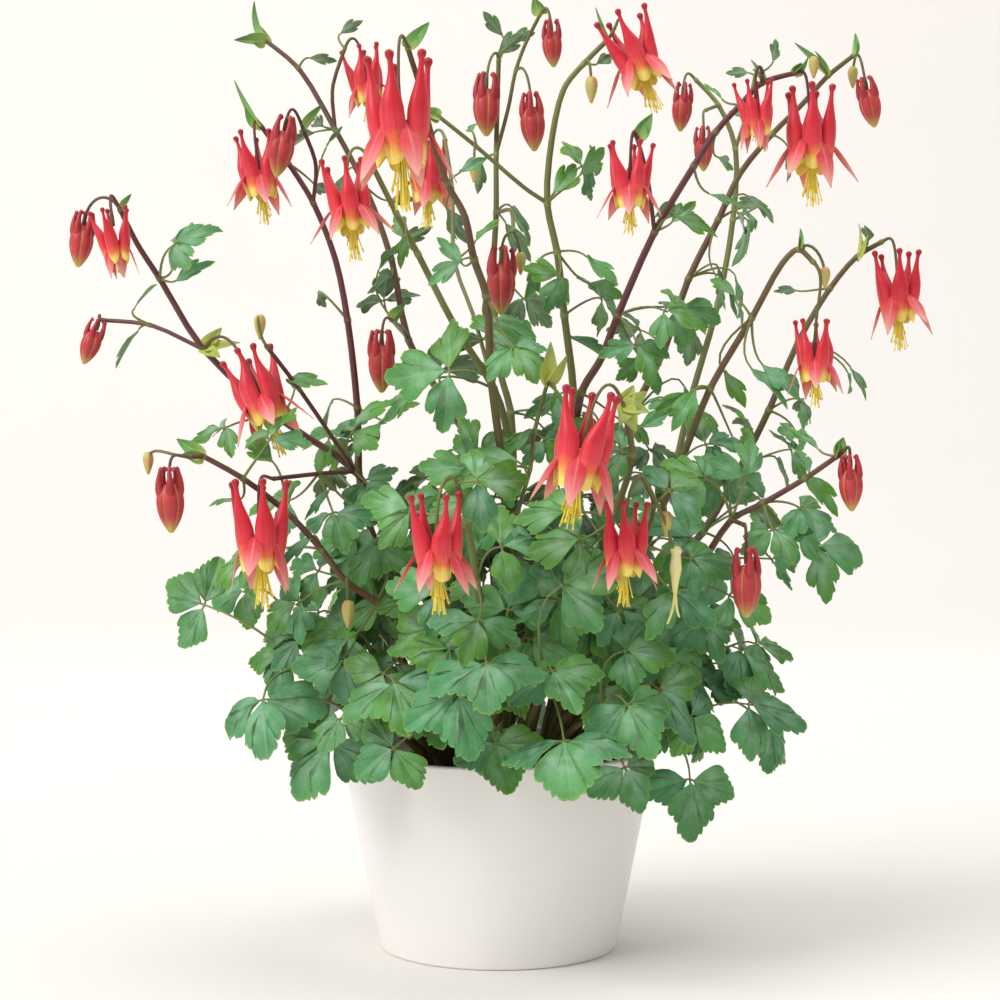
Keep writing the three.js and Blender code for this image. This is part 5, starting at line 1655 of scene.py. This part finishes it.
def low_leaf_parts(leaves, heading, leaflets):
    sunk, top = foot_points(heading.x * LOW_LEAF_RING, heading.y * LOW_LEAF_RING)
    parts = []
    for units in leaves:
        joint = top.lerp(middle_of(units), PETIOLE_REACH) + UP * PETIOLE_RISE
        knee = top.lerp(joint, KNEE_REACH)
        knee.z = mix(top.z, joint.z, KNEE_RISE)
        line = [sunk, top, knee, joint]
        parts.append(stem_tube(
            "leaf_stem", line, *PETIOLE_RADII, {len(line) - 1}, petiole_tone, PETIOLE_SIDES
        ))
        for i, (centre, size) in enumerate(units):
            # Painted shade: the nearer the pot's axis a leaf stands, the more of the heart's shade is painted
            # into it.
            tint = read_table(LOW_LEAF_TINTS, min(3.0, outward_reach(centre) / TINT_STEP))
            parts += leaf_parts(
                leaflets, "broad", joint, centre, size, LOW_LEAF_HANG, i + centre.x / MM, tint, LOW_LEAF_TONE
            )
    return parts


# ---------------------------------------------------------------- flowers
def make_petal():
    """A petal at its place on the +X side of the flower: a short blade below, a hollow spur above."""
    columns = list(zip(*PETAL_RINGS))
    steps = 2 * (len(PETAL_RINGS) - 1)

    def place(u, v):
        row = v * (len(PETAL_RINGS) - 1)
        height, reach, width, depth, hang = (read_table(column, row) for column in columns)
        turn = 2 * math.pi * u
        drop = hang * ((1 + math.cos(turn)) / 2) ** LIP_POWER
        out, aside = reach + max(0, depth) * math.cos(turn), max(0, width) * math.sin(turn)
        return Vector((out, aside, height - drop)) * MM

    petal = add_sheet("petal", PETAL_SIDES, steps, place, "petal")
    close_seams(petal)
    return petal


def make_sepal():
    """A sepal along +X, arched and cupped."""
    last = len(SEPAL_WIDTHS) - 1

    def place(u, v):
        half = read_table(SEPAL_WIDTHS, v * last)
        y = half * (1 - 2 * u)
        arch = 2.2 * math.sin(math.pi * v ** 0.75) - 0.05 * y * y + 3.0 * max(0.0, v - 0.6) ** 1.5
        return Vector((SEPAL_LENGTH * v, y, arch)) * MM

    sepal = add_sheet("sepal", 8, 14, place, "sepal")
    give_thickness(sepal, SEPAL_THICKNESS)
    return sepal


def make_tuft(count, reach):
    """The stamens and styles that hang out of a flower, reaching down by a share of their length."""
    draw = random.Random("stamens")
    base = [Vector((0, 0, height * MM)) for height, _ in TUFT_BASE]
    parts = [add_tube("receptacle", base, [radius * MM for _, radius in TUFT_BASE], "bract", 10)]
    out, down = THREAD_START
    for i in range(count + STYLES):
        style = i >= count
        turn = i * GOLDEN_ANGLE + draw.uniform(-THREAD_TURN, THREAD_TURN)
        side = around(1, turn)
        bottom = draw.uniform(*(STYLE_ENDS if style else STAMEN_ENDS)) * reach
        spread = draw.uniform(*(STYLE_SPREAD if style else STAMEN_SPREAD))
        points = [
            side * mix(out, spread, step ** 1.6) * MM - UP * mix(down, bottom, step) * MM
            for step in range_of(THREAD_STEPS)
        ]
        parts.append(add_tube("filament", points, [THREAD_RADIUS] * len(points), "filament", 5))
        if not style:
            bpy.ops.mesh.primitive_ico_sphere_add(subdivisions=2, radius=ANTHER_RADIUS)
            anther = bpy.context.object
            anther.data.materials.append(bpy.data.materials["anther"])
            lean = (points[-1] - points[-2]).to_track_quat("Z", "Y").to_matrix().to_4x4()
            anther.data.transform(Matrix.Translation(points[-1]) @ lean @ Matrix.Diagonal(ANTHER_SHAPE))
            parts.append(anther)
    return join_parts(parts, "tuft")


def make_bloom_kit(stamens, tuft_reach):
    return {"petal": make_petal(), "sepal": make_sepal(), "tuft": make_tuft(stamens, tuft_reach)}


def fifth_turn(fifths):
    """A turn about a flower's axis, by so many fifths of a circle."""
    return Matrix.Rotation(fifths * 2 * math.pi / 5, 4, "Z")


def bloom_parts(kit, frame, draw, spread):
    """Petals, sepals between them, and the tuft. spread is the sepals' mean fall below level."""
    parts = [copy_of(kit["tuft"], frame)]
    for k in range(5):
        turn = fifth_turn(k + 0.5)
        aside = draw.uniform(*SPUR_SWAY_OUT), draw.uniform(-SPUR_SWAY_ASIDE, SPUR_SWAY_ASIDE)
        sway = Vector((*aside, 0)) * MM
        lean = Matrix.Rotation(draw.uniform(*PETAL_TILT), 4, "Y")

        def bend(point, sway=sway):
            climb = max(0.0, point.z / MM - SPUR_FOOT) / SPUR_HEIGHT
            return point + sway * (math.sin(2.6 * climb) ** 2 * 0.6 + climb ** 2 * 0.7)

        parts.append(copy_of(kit["petal"], frame @ turn @ lean, bend=bend))
        turn = Matrix.Rotation(k * 2 * math.pi / 5 + draw.uniform(-SEPAL_TURN, SEPAL_TURN), 4, "Z")
        fall = spread + draw.uniform(-SEPAL_DROOP, SEPAL_DROOP)
        foot = Matrix.Translation((SEPAL_FOOT[0] * MM, 0, SEPAL_FOOT[1] * MM))
        matrix = frame @ turn @ foot @ Matrix.Rotation(fall, 4, "Y")
        roll = Matrix.Rotation(draw.uniform(-SEPAL_ROLL, SEPAL_ROLL), 4, "X")
        parts.append(copy_of(kit["sepal"], matrix @ roll))
    return parts


def make_lantern():
    """The closed body of a bud: five rounded ridges between five seams."""
    columns = list(zip(*BUD_PROFILE))
    last = len(BUD_PROFILE) - 1

    def place(u, v):
        height, radius = (read_table(column, v * last) for column in columns)
        turn = 2 * math.pi * u
        ridge = 0.84 + 0.16 * abs(math.sin(2.5 * turn)) ** 0.7
        radius = max(0.0, radius) * ridge
        return around(radius, turn, height) * MM

    lantern = add_sheet("lantern", 40, 2 * last, place, "bud_skin")
    close_seams(lantern)
    return lantern


def make_young_spur():
    """One of the bud's young spurs, standing on a ridge and hooked inwards."""
    points = [Vector((distance, 0, height)) * MM for height, distance, _ in BUD_SPUR]
    radii = [radius * MM for _, _, radius in BUD_SPUR]
    spur = add_tube("young_spur", points[1:-1], radii[1:-1], "bud_spur", 8)
    close_seams(spur)
    return spur


# ---------------------------------------------------------------- the pot and the soil
def inner_radius(look, height):
    slope = (look.rim_radius - look.foot_radius) / look.height
    return look.foot_radius + slope * height - look.wall


def select_level(piece, height):
    """Leaves edit mode on, with only the points at one height selected."""
    bpy.ops.object.mode_set(mode="EDIT")
    bpy.ops.mesh.select_mode(type="VERT")
    bpy.ops.mesh.select_all(action="DESELECT")
    bpy.ops.object.mode_set(mode="OBJECT")
    for point in piece.data.vertices:
        point.select = abs(point.co.z - height) < 1e-5
    bpy.ops.object.mode_set(mode="EDIT")


def make_pot(look):
    """A tapered cylinder, hollowed from above, its edges rounded."""
    clear_selection()
    bpy.ops.mesh.primitive_cylinder_add(vertices=128, radius=look.rim_radius, depth=look.height)
    pot = bpy.context.object
    pot.data.transform(Matrix.Translation((0, 0, look.height / 2)))
    pot.location = (0, 0, 0)
    select_level(pot, 0.0)
    narrow = look.foot_radius / look.rim_radius
    bpy.ops.transform.resize(value=(narrow, narrow, 1), center_override=(0, 0, 0))
    bpy.ops.object.mode_set(mode="OBJECT")
    select_level(pot, look.height)
    bpy.ops.mesh.inset(thickness=look.wall)
    bpy.ops.mesh.extrude_region_move(TRANSFORM_OT_translate={"value": (0, 0, look.floor - look.height)})
    narrow = inner_radius(look, look.floor) / (look.rim_radius - look.wall)
    bpy.ops.transform.resize(value=(narrow, narrow, 1), center_override=(0, 0, look.floor))
    bpy.ops.object.mode_set(mode="OBJECT")
    apply_modifier(
        pot, "BEVEL", width=look.rounding, segments=4, limit_method="ANGLE", angle_limit=math.radians(40)
    )
    pot.data.materials.append(bpy.data.materials["pot_glaze"])
    return pot


def make_soil(look, pot):
    """A closed bed of soil, lumpy on top and lower at the wall."""
    bottom, edge = pot.floor + GAP, SOIL_LEVEL - SOIL_DROP
    skirt = [(0, bottom), *((inner_radius(pot, level) - SOIL_GAP, level) for level in (bottom, edge))]
    bed = [
        (BED_RADII[0] * (1 - k / BED_RINGS) + BED_RADII[1] * (1 - k / BED_RINGS) ** 6, SOIL_LEVEL)
        for k in range(1, BED_RINGS + 1)
    ]
    profile = [*skirt, (SOIL_SHOULDER[0], edge + SOIL_SHOULDER[1]), *bed]
    last = len(profile) - 1

    def place(u, v):
        row = round(v * last)
        radius, height = profile[row]
        turn = 2 * math.pi * u
        if row >= len(skirt):
            height += look.relief * noise.fractal(around(radius, turn, 0.3) * SOIL_LUMPS, 0.7, 2.1, 4)
        return around(radius, turn, height)

    return add_sheet("soil", 96, last, place, "potting_soil")


def make_crumbs(look):
    """Loose crumbs strewn over the soil."""
    draw = random.Random("crumbs")
    crumbs = []
    bpy.ops.mesh.primitive_ico_sphere_add(subdivisions=1, radius=1)
    pattern = bpy.context.object
    pattern.data.materials.append(bpy.data.materials["potting_soil"])
    for _ in range(look.crumbs):
        distance = CRUMB_REACH * math.sqrt(draw.random())
        turn = draw.uniform(0, 2 * math.pi)
        size = look.crumb_size * draw.uniform(0.5, 1.7)
        fall = CRUMB_FALL * max(0.0, distance - SLOPE_START) / SLOPE_WIDTH
        place = around(distance, turn, SOIL_LEVEL - fall + 0.3 * size)
        shape = Matrix.Diagonal((size, size * draw.uniform(0.6, 1), size * draw.uniform(0.5, 0.9), 1))
        turned = draw.uniform(0, 6.28)
        spin = Matrix.Rotation(turned, 4, Vector((draw.random(), draw.random(), 1)))
        crumbs.append(copy_of(pattern, Matrix.Translation(place) @ spin @ shape))
    discard([pattern])
    return crumbs


# ---------------------------------------------------------------- operators
class COLUMBINE_OT_looks(bpy.types.Operator):
    """Make the materials of the whole plant"""

    bl_idname = "columbine.looks"
    bl_label = "Make materials"

    def execute(self, context):
        make_looks()
        return {"FINISHED"}


class COLUMBINE_OT_pot(bpy.types.Operator):
    """Build the pot and the soil in it"""

    bl_idname = "columbine.pot"
    bl_label = "Build pot and soil"

    def execute(self, context):
        pot, soil = context.scene.columbine_pot, context.scene.columbine_soil
        finish_piece([make_pot(pot)], "pot")
        finish_piece([make_soil(soil, pot), *make_crumbs(soil)], "soil")
        return {"FINISHED"}


class COLUMBINE_OT_stems(bpy.types.Operator):
    """Grow the stems with their leaves, bracts and flower stalks"""

    bl_idname = "columbine.stems"
    bl_label = "Grow stems"

    def execute(self, context):
        leaflets = make_leaflets(["narrow", "simple"])
        for stem in STEMS:
            finish_piece(stem_parts(StemPlan(stem), leaflets), stem["name"])
        discard([leaflet for kind in leaflets.values() for leaflet in kind])
        return {"FINISHED"}


class COLUMBINE_OT_low_leaves(bpy.types.Operator):
    """Grow the leaves that rise from the soil"""

    bl_idname = "columbine.low_leaves"
    bl_label = "Grow low leaves"

    def execute(self, context):
        leaflets = make_leaflets(["broad"])
        for name, leaves, heading in low_leaf_groups():
            finish_piece(low_leaf_parts(leaves, heading, leaflets), name)
        discard(leaflets["broad"])
        return {"FINISHED"}


class COLUMBINE_OT_blooms(bpy.types.Operator):
    """Hang the open flowers"""

    bl_idname = "columbine.blooms"
    bl_label = "Hang blooms"

    def execute(self, context):
        look = context.scene.columbine_bloom
        kit = make_bloom_kit(look.stamens, 1.0)
        for name, plan, item in flower_plans("bloom"):
            frame = plan.flower_frame(item) @ Matrix.Scale(item[5] / BLOOM_LENGTH, 4)
            draw = random.Random(name)
            finish_piece(bloom_parts(kit, frame, draw, draw.uniform(*SEPAL_FALL)), name)
        discard(kit.values())
        return {"FINISHED"}


class COLUMBINE_OT_buds(bpy.types.Operator):
    """Hang the closed and half-open buds"""

    bl_idname = "columbine.buds"
    bl_label = "Hang buds"

    def execute(self, context):
        open_kit = make_bloom_kit(HALF_OPEN_STAMENS, HALF_OPEN_TUFT)
        lantern, spur = make_lantern(), make_young_spur()
        for name, plan, item in flower_plans("bud"):
            frame = plan.flower_frame(item)
            draw = random.Random(name)
            if name in HALF_OPEN_BUDS:
                frame = frame @ Matrix.Scale(item[5] / HALF_OPEN_LENGTH, 4)
                parts = bloom_parts(open_kit, frame, draw, HALF_OPEN_FALL)
            else:
                frame = frame @ Matrix.Scale(item[5] / BUD_LENGTH, 4)
                parts = [copy_of(lantern, frame)]
                for k in range(5):
                    lean = Matrix.Rotation(draw.uniform(*YOUNG_SPUR_LEAN), 4, "Y")
                    parts.append(copy_of(spur, frame @ fifth_turn(k + 0.5) @ lean))
            finish_piece(parts, name)
        discard([*open_kit.values(), lantern, spur])
        return {"FINISHED"}


class COLUMBINE_OT_stage(bpy.types.Operator):
    """Set the backdrop, the lights and the camera"""

    bl_idname = "columbine.stage"
    bl_label = "Set the stage"

    def execute(self, context):
        look = context.scene.columbine_stage

        def sweep(u, v):
            """A floor that curves up into a wall behind."""
            aside, along = SWEEP_WIDTH * (0.5 - u), v * SWEEP_RUN - SWEEP_START
            if along < BEND_START:
                return Vector((aside, along, 0))
            turn = min((along - BEND_START) / BEND_RADIUS, math.pi / 2)
            climb = max(0.0, along - BEND_START - BEND_RADIUS * math.pi / 2)
            y = BEND_START + BEND_RADIUS * math.sin(turn)
            return Vector((aside, y, BEND_RADIUS * (1 - math.cos(turn)) + climb))

        backdrop = add_sheet("backdrop_sweep", 2, 70, sweep, "backdrop")
        close_seams(backdrop, outward_faces=False)
        bpy.ops.object.shade_smooth()
        for name, place, size, power in (
            ("key_light", (-2.25, -1.5, 2.4), 2.3, look.key),
            ("fill_light", (1.2, -1.6, 1.0), 1.6, look.fill),
            ("top_light", (0.6, 0.0, 2.2), 2.0, look.top),
        ):
            bpy.ops.object.light_add(type="AREA", location=place)
            lamp = context.object
            lamp.name = name
            lamp.data.size = size
            lamp.data.energy = power
            aim = LIGHT_AIM - lamp.location
            lamp.rotation_euler = aim.to_track_quat("-Z", "Y").to_euler()
        world = bpy.data.worlds.new("room")
        world.use_nodes = True
        background = world.node_tree.nodes["Background"]
        background.inputs["Color"].default_value = (1.0, 0.99, 0.98, 1.0)
        background.inputs["Strength"].default_value = look.room
        context.scene.world = world
        context.scene.view_settings.view_transform = "Standard"
        bpy.ops.object.camera_add(
            location=(EYE_ASIDE, -SIGHT_DISTANCE, SIGHT_HEIGHT), rotation=(math.radians(90) - look.tilt, 0, 0)
        )
        context.object.data.lens = look.lens
        context.scene.camera = context.object
        return {"FINISHED"}


class COLUMBINE_PT_panel(bpy.types.Panel):
    """The settings of the potted columbine"""

    bl_idname = "COLUMBINE_PT_panel"
    bl_label = "Potted columbine"
    bl_space_type = "VIEW_3D"
    bl_region_type = "UI"
    bl_category = "Columbine"

    def draw(self, context):
        for operator in OPERATORS:
            self.layout.operator(operator.bl_idname)
        for name in SETTINGS:
            box = self.layout.box()
            group = getattr(context.scene, name)
            for prop in group.bl_rna.properties:
                if prop.identifier not in ("rna_type", "name"):
                    box.prop(group, prop.identifier)


SETTINGS = {
    "columbine_pot": ColumbinePotSettings,
    "columbine_soil": ColumbineSoilSettings,
    "columbine_stem": ColumbineStemSettings,
    "columbine_leaf": ColumbineLeafSettings,
    "columbine_bloom": ColumbineBloomSettings,
    "columbine_bud": ColumbineBudSettings,
    "columbine_stage": ColumbineStageSettings,
}
OPERATORS = (
    COLUMBINE_OT_looks, COLUMBINE_OT_pot, COLUMBINE_OT_stems, COLUMBINE_OT_low_leaves,
    COLUMBINE_OT_blooms, COLUMBINE_OT_buds, COLUMBINE_OT_stage,
)


def register():
    for kind in (*SETTINGS.values(), *OPERATORS, COLUMBINE_PT_panel):
        bpy.utils.register_class(kind)
    for name, group in SETTINGS.items():
        setattr(bpy.types.Scene, name, bpy.props.PointerProperty(type=group))


def unregister():
    for name in SETTINGS:
        delattr(bpy.types.Scene, name)
    for kind in reversed((*SETTINGS.values(), *OPERATORS, COLUMBINE_PT_panel)):
        bpy.utils.unregister_class(kind)


def main():
    register()
    bpy.ops.columbine.looks()
    bpy.ops.columbine.pot()
    bpy.ops.columbine.stems()
    bpy.ops.columbine.low_leaves()
    bpy.ops.columbine.blooms()
    bpy.ops.columbine.buds()
    bpy.ops.columbine.stage()
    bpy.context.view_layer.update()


if __name__ == "__main__":
    main()
